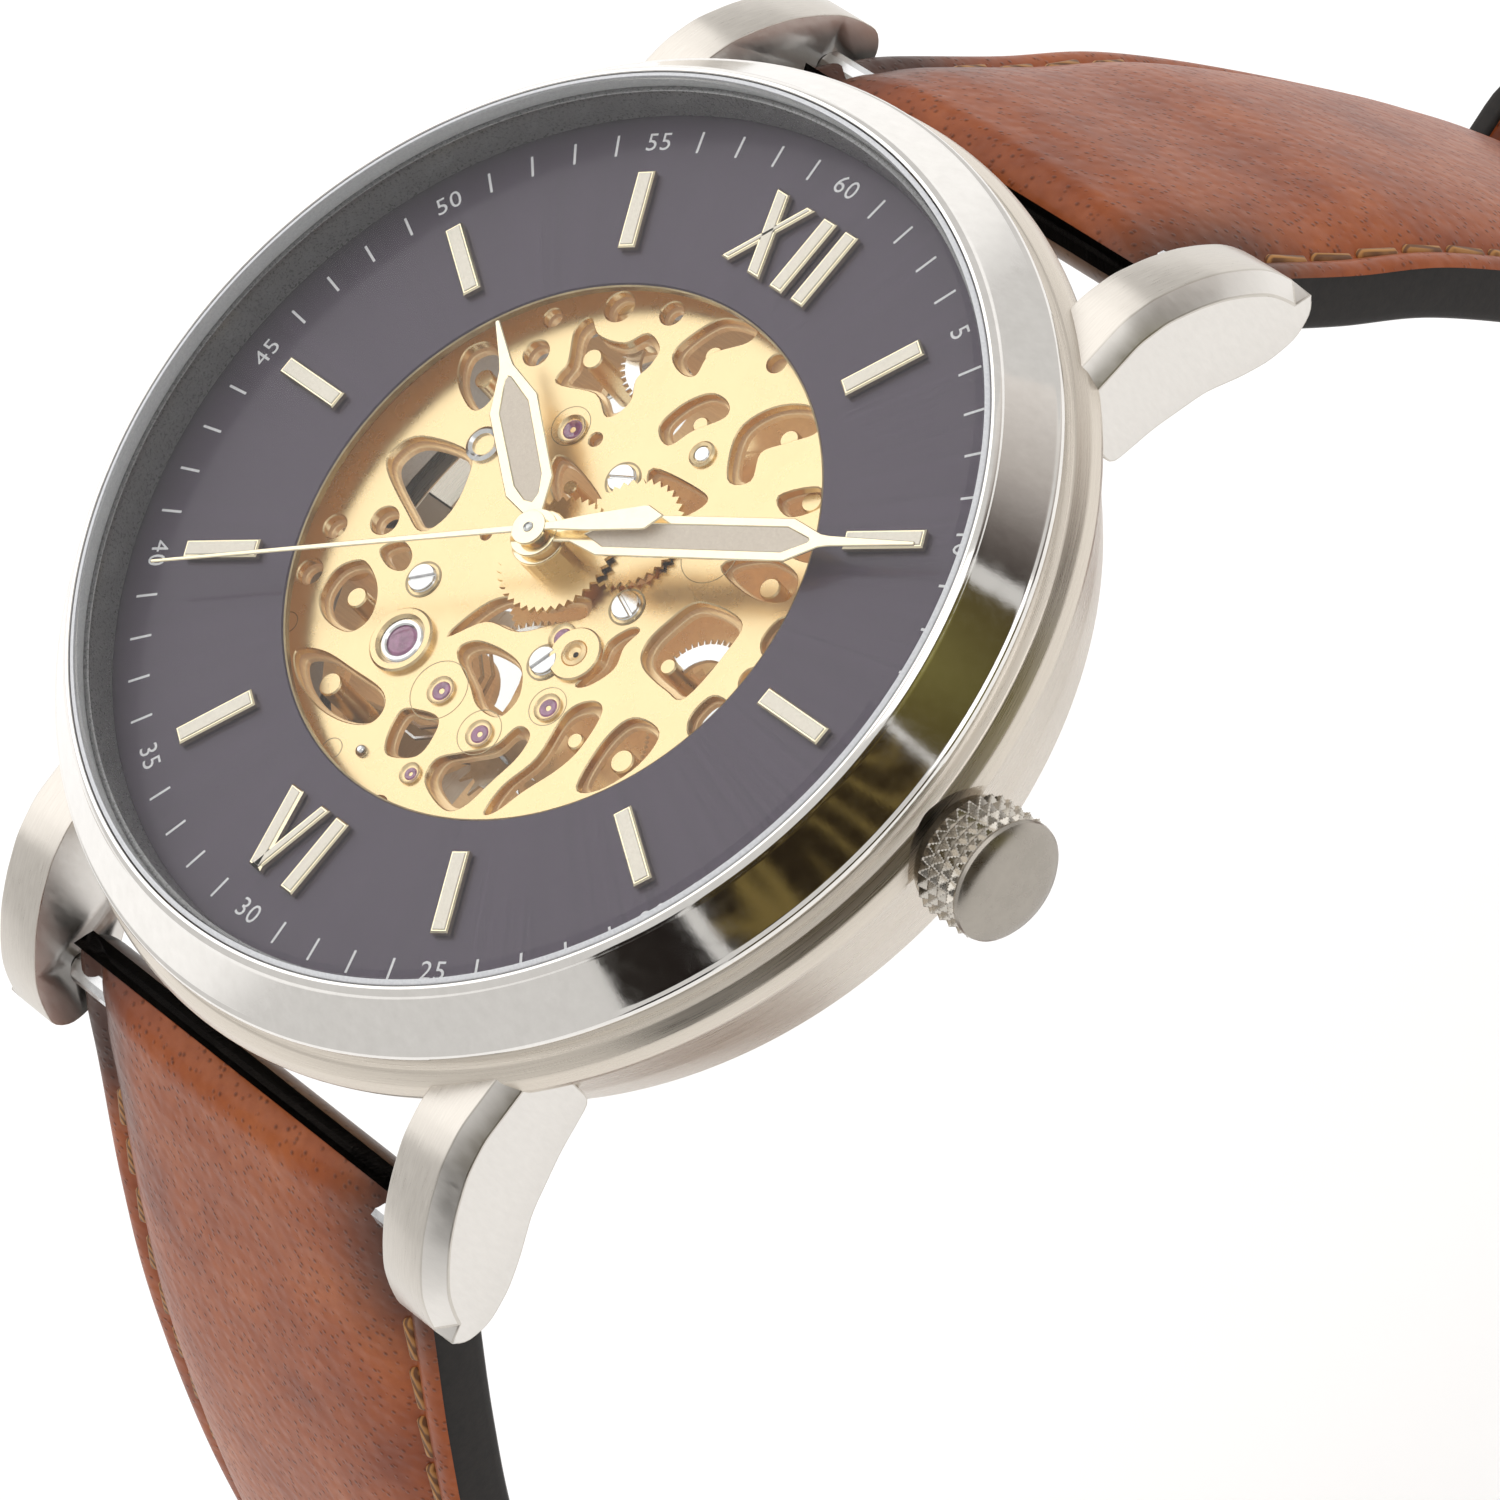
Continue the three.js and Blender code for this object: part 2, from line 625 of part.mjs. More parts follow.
function strapBlank(points, eyeAtEnd) {
  const line = middleLine(points);
  const outer = [];
  const inner = [];
  for (let i = 0; i <= STRAP_STEPS; i += 1) {
    const t = i / STRAP_STEPS;
    const middle = line.getPointAt(t);
    const along = line.getTangentAt(t);
    const half = eyeAtEnd && t > 0.97 ? 1.5 : halfThickness(t);
    outer.push([middle.y - along.z * half, middle.z + along.y * half]);
    inner.push([middle.y + along.z * half, middle.z - along.y * half]);
  }
  const ends = [points[0], points[points.length - 1]];
  const sheet = sideSlab(outline([...outer, ...inner.reverse()]), -STRAP_WIDTH / 2, STRAP_WIDTH / 2);
  const rolls = eyeAtEnd ? [[ends[0], 1.65], [ends[1], 1.5]] : [[ends[0], 1.65]];
  const rods = rolls.map(([[y, z], r]) => rodX(r, -STRAP_WIDTH / 2, STRAP_WIDTH / 2, y, z, 16));
  const eyes = rolls.map(([[y, z]]) => rodX(0.95, -STRAP_WIDTH, STRAP_WIDTH, y, z, 12));
  return cut(join(sheet, ...rods), ...eyes);
}

function tapered(geometry) {
  const position = geometry.attributes.position;
  const depth = BAR_Z - BUCKLE_BAR_Z;
  for (let i = 0; i < position.count; i += 1) {
    const down = THREE.MathUtils.clamp((BAR_Z - position.getZ(i)) / depth, 0, 1);
    position.setX(i, position.getX(i) * (1 - STRAP_TAPER * down));
  }
  return geometry;
}

function strapTwelve() {
  const slot = box(-1.4, 1.4, BUCKLE_BAR_Y - 4, BUCKLE_BAR_Y + 4.2, BUCKLE_BAR_Z - 4, BUCKLE_BAR_Z + 4);
  return cut(tapered(strapBlank(LINE_12, true)), slot);
}

function strapSix() {
  const line = middleLine(LINE_6);
  const length = line.getLength();
  const holes = [];
  for (let i = 0; i < 7; i += 1) {
    const t = 1 - (14 + 6.5 * i) / length;
    const middle = line.getPointAt(t);
    const along = line.getTangentAt(t);
    const hole = disc(0.95, -3, 3, 10).rotateX(Math.atan2(along.z, along.y));
    holes.push(hole.translate(0, middle.y, middle.z));
  }
  return cut(tapered(strapBlank(LINE_6, false)), ...holes);
}

function springBar(y, z, halfLength, tipLength) {
  return join(
    rodX(0.75, -halfLength, halfLength, y, z, 12),
    rodX(0.38, -halfLength - tipLength, halfLength + tipLength, y, z, 8),
  );
}

// A leather loop round the strap, square to the strap's middle line at t.
function keeper(t, width, insideHeight, drop) {
  const line = middleLine(LINE_12);
  const middle = line.getPointAt(t);
  const along = line.getTangentAt(t);
  const halfWidth = 10.75;
  const wall = 1.2;
  const top = insideHeight - drop;
  const edge = halfWidth + wall;
  const outside = box(-edge, edge, -width / 2, width / 2, -drop - wall, top + wall);
  const inside = box(-halfWidth, halfWidth, -width, width, -drop, top);
  return cut(outside, inside)
    .rotateX(Math.atan2(along.z, along.y))
    .translate(0, middle.y, middle.z);
}

// The buckle is drawn flat with its bar on the X axis, then turned to follow the strap's end.
function onBuckleBar(geometry) {
  return geometry.rotateX(BUCKLE_LEAN).translate(0, BUCKLE_BAR_Y, BUCKLE_BAR_Z);
}

function buckleFrame() {
  const halfOuter = 12.3;
  const halfInner = 10.4;
  const front = -15.0;
  const back = 1.4;
  const thick = 1.1;
  const arms = [-1, 1].map((side) => box(
    Math.min(side * halfInner, side * halfOuter), Math.max(side * halfInner, side * halfOuter),
    front, back, -thick, thick,
  ));
  const crossbar = rodX(1.25, -halfOuter, halfOuter, front + 0.6, 0, 12);
  const barHole = rodX(0.5, -halfInner - 1.2, halfInner + 1.2, 0, 0, 8);
  return onBuckleBar(cut(join(crossbar, ...arms), barHole));
}

function buckleTongue() {
  const eye = rodX(1.55, -0.9, 0.9, 0, 0, 16);
  const shape = outline([[0, -0.3], [0, -1.5], [-12.6, -2.3], [-15.6, -2.0], [-15.6, -1.5], [-12.6, -1.45]]);
  const spike = sideSlab(shape, -0.8, 0.8);
  return onBuckleBar(cut(join(eye, spike), rodX(0.9, -2, 2, 0, 0, 12)));
}

// Assembly.

add('case_middle', caseMiddle(), brushed);
add('bezel', bezel(), steel);
add('crystal', crystal(), clear);
add('crystal_gasket', ring(19.3, 19.5, 10.9, 11.7), plastic);
add('rehaut_ring', turned([[18.95, 9.4], [19.3, 9.4], [19.3, 11.05], [19.05, 11.05], [18.95, 9.4]]), rehautPaint);
add('dial', ring(WINDOW_R, 19.25, 8.95, DIAL_TOP), dialPaint);
for (const hour of [1, 2, 3, 4, 5, 7, 8, 9, 10, 11]) {
  add(`index_${hour}`, baton(hour * 30), gilt);
}
add('numeral_12', numeralTwelve(), gilt);
add('numeral_6', numeralSix(), gilt);
add('hour_hand', hourHand(), gilt);
add('minute_hand', minuteHand(), gilt);
add('seconds_hand', secondsHand(), gilt);
add('main_plate', mainPlate(), gilt);
add('train_bridge', trainBridge(), gilt);
add('balance_cock', balanceCock(), gilt);
add('auto_bridge', autoBridge(), gilt);
add('movement_ring', movementRing(), plastic);
add('shock_setting', ring(0.45, 1.0, 7.45, 8.3, 20).translate(BALANCE.x, BALANCE.y, 0), brass);
add('barrel', barrel(), brass);
add('center_wheel', centreWheel(), brass);
add('third_wheel', thirdWheel(), brass);
add('fourth_wheel', fourthWheel(), brass);
add('seconds_pinion', secondsPinion(), darkSteel);
add('escape_wheel', escapeWheel(), darkSteel);
add('pallet_fork', palletFork(), darkSteel);
add('balance_wheel', balanceWheel(), brass);
add('hairspring', hairspring(), darkSteel);
add('cannon_pinion', cannonPinion(), darkSteel);
add('minute_wheel', minuteWheel(), brass);
add('hour_wheel', hourWheel(), brass);
add('ratchet_wheel', ratchetWheel(), darkSteel);
add('crown_wheel', crownWheel(), darkSteel);
add('winding_pinion', stemSleeve(9.8, 10.8, 0.8), darkSteel);
add('sliding_clutch', stemSleeve(8.7, 9.6, 0.68), darkSteel);
add('winding_stem', rodX(STEM_R, 8.6, 22.8, 0, STEM_Z, 12), darkSteel);
add('crown', crown(), brushed);
add('crown_gasket', stemGasket(), rubber);
add('rotor', rotor(), steel);
add('rotor_screw', rotorScrew(), steel);
add('case_back', caseBack(), brushed);
add('case_back_glass', slab(circle(12.95), 0, 1.2, ROUND / 2), clear);
add('case_back_gasket', ring(17.9, 18.3, 2.2, 2.45), rubber);
add('spring_bar_12', springBar(BAR_Y, BAR_Z, 10.85, 1.2), darkSteel);
add('spring_bar_6', springBar(-BAR_Y, BAR_Z, 10.85, 1.2), darkSteel);
add('strap_12', strapTwelve(), leather);
add('strap_6', strapSix(), leather);
add('keeper_free', keeper(0.56, 6.0, 5.8, 2.3), leather);
add('keeper_fixed', keeper(0.86, 5.0, 5.4, 1.6), leather);
add('buckle_bar', springBar(BUCKLE_BAR_Y, BUCKLE_BAR_Z, 10.2, 1.1), darkSteel);
add('buckle_frame', buckleFrame(), steel);
add('buckle_tongue', buckleTongue(), steel);

export default watch;
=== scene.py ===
"""Skeleton wristwatch: the visual model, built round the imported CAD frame."""
import math
import random

import bmesh
import bpy
from mathutils import Matrix, Vector


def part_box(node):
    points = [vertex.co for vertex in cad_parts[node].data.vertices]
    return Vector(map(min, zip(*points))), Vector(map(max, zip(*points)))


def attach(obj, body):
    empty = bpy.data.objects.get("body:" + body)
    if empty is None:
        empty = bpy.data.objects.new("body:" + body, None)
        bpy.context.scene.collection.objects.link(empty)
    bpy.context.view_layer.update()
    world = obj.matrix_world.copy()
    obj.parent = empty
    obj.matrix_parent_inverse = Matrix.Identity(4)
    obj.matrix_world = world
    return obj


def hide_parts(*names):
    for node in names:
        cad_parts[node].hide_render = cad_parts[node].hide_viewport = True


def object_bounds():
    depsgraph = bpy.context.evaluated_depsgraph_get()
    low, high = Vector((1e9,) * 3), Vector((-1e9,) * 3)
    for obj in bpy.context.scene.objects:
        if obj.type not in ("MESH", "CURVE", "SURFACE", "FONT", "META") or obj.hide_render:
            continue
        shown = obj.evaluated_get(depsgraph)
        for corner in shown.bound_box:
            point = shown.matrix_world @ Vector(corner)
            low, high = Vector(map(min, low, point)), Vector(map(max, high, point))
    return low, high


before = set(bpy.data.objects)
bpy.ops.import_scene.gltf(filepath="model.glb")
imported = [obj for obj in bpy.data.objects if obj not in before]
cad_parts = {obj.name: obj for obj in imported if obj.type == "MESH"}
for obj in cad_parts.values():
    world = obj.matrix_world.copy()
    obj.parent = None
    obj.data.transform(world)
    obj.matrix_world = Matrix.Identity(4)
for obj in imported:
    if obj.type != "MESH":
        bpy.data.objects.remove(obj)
CAD_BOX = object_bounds()

MM = 0.001
SEED = 7
FINE = 256
SHARP = math.radians(28)

FLOOR_REACH = 3000
FLOOR_GAP = 0.05
WORLD_TINT = (1.0, 0.99, 0.975, 1)
WORLD_STRENGTH = 0.72
CAMERA_PLACE = (200.854, -29.317, 236.999)
CAMERA_TARGET = (14.199, -1.942, 9.7)
CAMERA_UP = (-0.4453, 0.7692, 0.4583)
CAMERA_LENS = 193.77
SENSOR_WIDTH = 36

PRINT_LIFT = 0.012
END_ANGLES = (15, 30, 45, 60, 75, 86)


# ---------------------------------------------------------------- places from the frame

def centre(node):
    """Middle of a CAD node's box, in millimetres."""
    low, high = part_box(node)
    return (low + high) / 2 / MM


def low_mm(node):
    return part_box(node)[0] / MM


def high_mm(node):
    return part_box(node)[1] / MM


BAR_Y = centre("spring_bar_12").y
BAR_Z = centre("spring_bar_12").z
BUCKLE_Y = centre("buckle_bar").y
BUCKLE_Z = centre("buckle_bar").z
STEM_Z = centre("crown").z
DIAL_TOP = high_mm("dial").z
INDEX_TOP = high_mm("index_3").z
INDEX_IN = low_mm("index_3").x
INDEX_OUT = high_mm("index_3").x
PLATE_TOP = high_mm("main_plate").z
CRYSTAL_TOP = high_mm("crystal").z
CRYSTAL_LOW = low_mm("crystal").z
BALANCE = centre("balance_wheel")
THIRD = centre("third_wheel")
FOURTH = centre("fourth_wheel")
BARREL = centre("barrel")
BUCKLE_LEAN = 70


# ---------------------------------------------------------------- materials

def node_material(name):
    material = bpy.data.materials.new(name)
    material.use_nodes = True
    nodes = material.node_tree.nodes
    shader = nodes["Principled BSDF"]
    return material, nodes, material.node_tree.links, shader


def coordinates(nodes, links, scale=(1, 1, 1), rotation=(0, 0, 0)):
    """Object coordinates in millimetres, stretched by scale."""
    source = nodes.new("ShaderNodeTexCoord")
    mapping = nodes.new("ShaderNodeMapping")
    mapping.inputs["Scale"].default_value = [s / MM for s in scale]
    mapping.inputs["Rotation"].default_value = rotation
    links.new(source.outputs["Object"], mapping.inputs["Vector"])
    return mapping.outputs["Vector"]


def polar_coordinates(nodes, links, around, along):
    """(angle * around, height * along, radius) about the dial axis, for turned and brushed rings."""
    source = nodes.new("ShaderNodeTexCoord")
    split = nodes.new("ShaderNodeSeparateXYZ")
    links.new(source.outputs["Object"], split.inputs["Vector"])
    angle = nodes.new("ShaderNodeMath")
    angle.operation = "ARCTAN2"
    links.new(split.outputs["Y"], angle.inputs[0])
    links.new(split.outputs["X"], angle.inputs[1])
    radius = nodes.new("ShaderNodeVectorMath")
    radius.operation = "LENGTH"
    flat = nodes.new("ShaderNodeCombineXYZ")
    links.new(split.outputs["X"], flat.inputs["X"])
    links.new(split.outputs["Y"], flat.inputs["Y"])
    links.new(flat.outputs["Vector"], radius.inputs[0])
    joined = nodes.new("ShaderNodeCombineXYZ")
    links.new(angle.outputs[0], joined.inputs["X"])
    links.new(split.outputs["Z"], joined.inputs["Y"])
    links.new(radius.outputs["Value"], joined.inputs["Z"])
    stretch = nodes.new("ShaderNodeMapping")
    stretch.inputs["Scale"].default_value = (around, along / MM, along / MM)
    links.new(joined.outputs["Vector"], stretch.inputs["Vector"])
    return stretch.outputs["Vector"]


def noise(nodes, links, vector, scale, detail=4.0, roughness=0.6):
    texture = nodes.new("ShaderNodeTexNoise")
    texture.inputs["Scale"].default_value = scale
    texture.inputs["Detail"].default_value = detail
    texture.inputs["Roughness"].default_value = roughness
    links.new(vector, texture.inputs["Vector"])
    return texture.outputs["Fac"]


def cells(nodes, links, vector, scale, feature="F1"):
    texture = nodes.new("ShaderNodeTexVoronoi")
    texture.feature = feature
    texture.inputs["Scale"].default_value = scale
    links.new(vector, texture.inputs["Vector"])
    return texture.outputs["Distance"]


def ramp(nodes, links, factor, stops):
    """Colour ramp from (position, colour) stops."""
    colours = nodes.new("ShaderNodeValToRGB")
    links.new(factor, colours.inputs["Fac"])
    elements = colours.color_ramp.elements
    elements[0].position, elements[0].color = stops[0][0], (*stops[0][1], 1)
    elements[1].position, elements[1].color = stops[-1][0], (*stops[-1][1], 1)
    for position, colour in stops[1:-1]:
        elements.new(position).color = (*colour, 1)
    return colours.outputs["Color"]


def remap(nodes, links, factor, low, high, from_low=0.0, from_high=1.0):
    spread = nodes.new("ShaderNodeMapRange")
    spread.inputs["From Min"].default_value = from_low
    spread.inputs["From Max"].default_value = from_high
    spread.inputs["To Min"].default_value = low
    spread.inputs["To Max"].default_value = high
    links.new(factor, spread.inputs["Value"])
    return spread.outputs["Result"]


def bump(nodes, links, shader, height, strength, depth, under=None):
    node = nodes.new("ShaderNodeBump")
    node.inputs["Strength"].default_value = strength
    node.inputs["Distance"].default_value = depth * MM
    links.new(height, node.inputs["Height"])
    if under is not None:
        links.new(under, node.inputs["Normal"])
    links.new(node.outputs["Normal"], shader.inputs["Normal"])
    return node.outputs["Normal"]


def mixed(nodes, links, factor, first, second):
    node = nodes.new("ShaderNodeMix")
    node.data_type = "RGBA"
    node.blend_type = "MIX"
    links.new(factor, node.inputs["Factor"])
    for value, socket in ((first, node.inputs["A"]), (second, node.inputs["B"])):
        if isinstance(value, tuple):
            socket.default_value = (*value, 1)
        else:
            links.new(value, socket)
    return node.outputs["Result"]


def metal(name, tint, darker, rough_low, rough_high, grain=(1, 1, 1), grain_scale=6.0, relief=0.02,
          metallic=1.0):
    """Metal with fine directional grain in colour, gloss and height."""
    material, nodes, links, shader = node_material(name)
    vector = coordinates(nodes, links, grain)
    streaks = noise(nodes, links, vector, grain_scale, 5.0, 0.65)
    links.new(ramp(nodes, links, streaks, [(0.3, darker), (0.7, tint)]), shader.inputs["Base Color"])
    links.new(remap(nodes, links, streaks, rough_low, rough_high, 0.3, 0.7), shader.inputs["Roughness"])
    shader.inputs["Metallic"].default_value = metallic
    bump(nodes, links, shader, streaks, 0.25, relief)
    return material


def warmed(material):
    """Makes the material glow: painted light standing in for the warm light that the gilt parts scatter
    between each other inside the movement.
    """
    shader = material.node_tree.nodes["Principled BSDF"]
    shader.inputs["Emission Color"].default_value = (0.34, 0.215, 0.115, 1)
    shader.inputs["Emission Strength"].default_value = 0.45
    return material


def turned_metal(name, tint, darker, rough_low, rough_high, around, along, relief):
    """Metal brushed or turned round the dial axis."""
    material, nodes, links, shader = node_material(name)
    vector = polar_coordinates(nodes, links, around, along)
    streaks = noise(nodes, links, vector, 1.0, 4.0, 0.6)
    links.new(ramp(nodes, links, streaks, [(0.3, darker), (0.7, tint)]), shader.inputs["Base Color"])
    links.new(remap(nodes, links, streaks, rough_low, rough_high, 0.3, 0.7), shader.inputs["Roughness"])
    shader.inputs["Metallic"].default_value = 1.0
    bump(nodes, links, shader, streaks, 0.3, relief)
    return material


def dial_material():
    """Dark blue-grey lacquer over a fine sunray brushing."""
    material, nodes, links, shader = node_material("dial_lacquer")
    vector = polar_coordinates(nodes, links, 90.0, 0.05)
    rays = noise(nodes, links, vector, 1.0, 3.0, 0.5)
    speckle = noise(nodes, links, coordinates(nodes, links), 22.0, 2.0, 0.5)
    base = ramp(nodes, links, rays, [(0.25, (0.034, 0.019, 0.040)), (0.75, (0.056, 0.035, 0.064))])
    colour = mixed(nodes, links, remap(nodes, links, speckle, 0.0, 0.25), base, (0.07, 0.05, 0.078))
    links.new(colour, shader.inputs["Base Color"])
    links.new(remap(nodes, links, rays, 0.38, 0.5), shader.inputs["Roughness"])
    shader.inputs["Metallic"].default_value = 0.35
    shader.inputs["Coat Weight"].default_value = 0.35
    shader.inputs["Coat Roughness"].default_value = 0.12
    bump(nodes, links, shader, rays, 0.03, 0.004)
    return material


def paint_material(name, colour, deeper, roughness, metallic=0.0):
    material, nodes, links, shader = node_material(name)
    grain = noise(nodes, links, coordinates(nodes, links), 9.0, 4.0, 0.6)
    links.new(ramp(nodes, links, grain, [(0.3, deeper), (0.7, colour)]), shader.inputs["Base Color"])
    spread = remap(nodes, links, grain, roughness * 0.85, min(1.0, roughness * 1.15))
    links.new(spread, shader.inputs["Roughness"])
    shader.inputs["Metallic"].default_value = metallic
    bump(nodes, links, shader, grain, 0.2, 0.02)
    return material


def glass_material(name, tint):
    """Clear crystal: see-through, with a faint sharp reflection that grows at a glancing angle."""
    material, nodes, links, shader = node_material(name)
    nodes.remove(shader)
    smudge = noise(nodes, links, coordinates(nodes, links), 0.35, 3.0, 0.5)
    clear = nodes.new("ShaderNodeBsdfTransparent")
    links.new(ramp(nodes, links, smudge, [(0.3, tint), (0.7, tuple(c * 1.01 for c in tint))]),
              clear.inputs["Color"])
    glancing = nodes.new("ShaderNodeLayerWeight")
    glancing.inputs["Blend"].default_value = 0.5
    steep = nodes.new("ShaderNodeMath")
    steep.operation = "POWER"
    steep.inputs[1].default_value = 5.0
    links.new(glancing.outputs["Facing"], steep.inputs[0])
    gloss = nodes.new("ShaderNodeBsdfGlossy")
    links.new(remap(nodes, links, smudge, 0.012, 0.04), gloss.inputs["Roughness"])
    blend = nodes.new("ShaderNodeMixShader")
    links.new(remap(nodes, links, steep.outputs[0], 0.02, 0.9), blend.inputs["Fac"])
    links.new(clear.outputs["BSDF"], blend.inputs[1])
    links.new(gloss.outputs["BSDF"], blend.inputs[2])
    links.new(blend.outputs["Shader"], nodes["Material Output"].inputs["Surface"])
    return material


def jewel_material():
    material, nodes, links, shader = node_material("ruby")
    shader.inputs["Roughness"].default_value = 0.06
    shader.inputs["IOR"].default_value = 1.76
    depth = noise(nodes, links, coordinates(nodes, links), 3.0, 2.0, 0.5)
    links.new(ramp(nodes, links, depth, [(0.3, (0.16, 0.03, 0.10)), (0.7, (0.34, 0.10, 0.24))]),
              shader.inputs["Base Color"])
    shader.inputs["Coat Weight"].default_value = 0.8
    shader.inputs["Coat Roughness"].default_value = 0.03
    return material


def leather_material(name, light, middle, dark, pore_depth):
    """Pebbled calf leather: open pores, soft blotches and a waxed sheen; painted shade turns it near black
    where the strap runs in under the lugs.
    """
    material, nodes, links, shader = node_material(name)
    vector = coordinates(nodes, links)
    blotches = noise(nodes, links, vector, 0.16, 5.0, 0.6)
    fine = noise(nodes, links, vector, 1.6, 4.0, 0.7)
    pores = cells(nodes, links, vector, 2.6)
    pebble = cells(nodes, links, vector, 1.7, "SMOOTH_F1")
    base = ramp(nodes, links, blotches, [(0.3, dark), (0.5, middle), (0.72, light)])
    mottled = mixed(nodes, links, remap(nodes, links, fine, 0.0, 0.45, 0.3, 0.75), base, dark)
    dots = remap(nodes, links, pores, 0.75, 0.0, 0.03, 0.32)
    pored = mixed(nodes, links, dots, mottled, (dark[0] * 0.35, dark[1] * 0.35, dark[2] * 0.35))
    # Painted shade: near-black leather where the strap runs in between and under the lugs.
    lug_shade = nodes.new("ShaderNodeAttribute")
    lug_shade.attribute_name = "lug_shade"
    lug_shaded = mixed(nodes, links, lug_shade.outputs["Fac"], pored, (0.030, 0.014, 0.010))
    links.new(lug_shaded, shader.inputs["Base Color"])
    links.new(remap(nodes, links, fine, 0.38, 0.58), shader.inputs["Roughness"])
    shader.inputs["Specular IOR Level"].default_value = 0.2
    shader.inputs["Coat Weight"].default_value = 0.2
    shader.inputs["Coat Roughness"].default_value = 0.2
    soft = bump(nodes, links, shader, pebble, 0.35, pore_depth)
    bump(nodes, links, shader, dots, 0.45, pore_depth * 0.8, soft)
    return material


def edge_material():
    """Dark edge paint: satin, slightly uneven."""
    material, nodes, links, shader = node_material("edge_paint")
    grain = noise(nodes, links, coordinates(nodes, links), 2.2, 5.0, 0.6)
    links.new(ramp(nodes, links, grain, [(0.3, (0.010, 0.008, 0.007)), (0.75, (0.022, 0.018, 0.016))]),
              shader.inputs["Base Color"])
    links.new(remap(nodes, links, grain, 0.42, 0.6), shader.inputs["Roughness"])
    shader.inputs["Specular IOR Level"].default_value = 0.2
    bump(nodes, links, shader, grain, 0.3, 0.05)
    return material


def thread_material():
    material, nodes, links, shader = node_material("thread")
    twist = nodes.new("ShaderNodeTexWave")
    twist.inputs["Scale"].default_value = 1.3
    twist.inputs["Distortion"].default_value = 1.0
    vector = coordinates(nodes, links, rotation=(0.6, 0.4, 0.0))
    links.new(vector, twist.inputs["Vector"])
    links.new(ramp(nodes, links, twist.outputs["Fac"],
                   [(0.2, (0.14, 0.05, 0.010)), (0.8, (0.42, 0.19, 0.045))]),
              shader.inputs["Base Color"])
    shader.inputs["Roughness"].default_value = 0.6
    shader.inputs["Sheen Weight"].default_value = 0.1
    bump(nodes, links, shader, twist.outputs["Fac"], 0.5, 0.06)
    return material


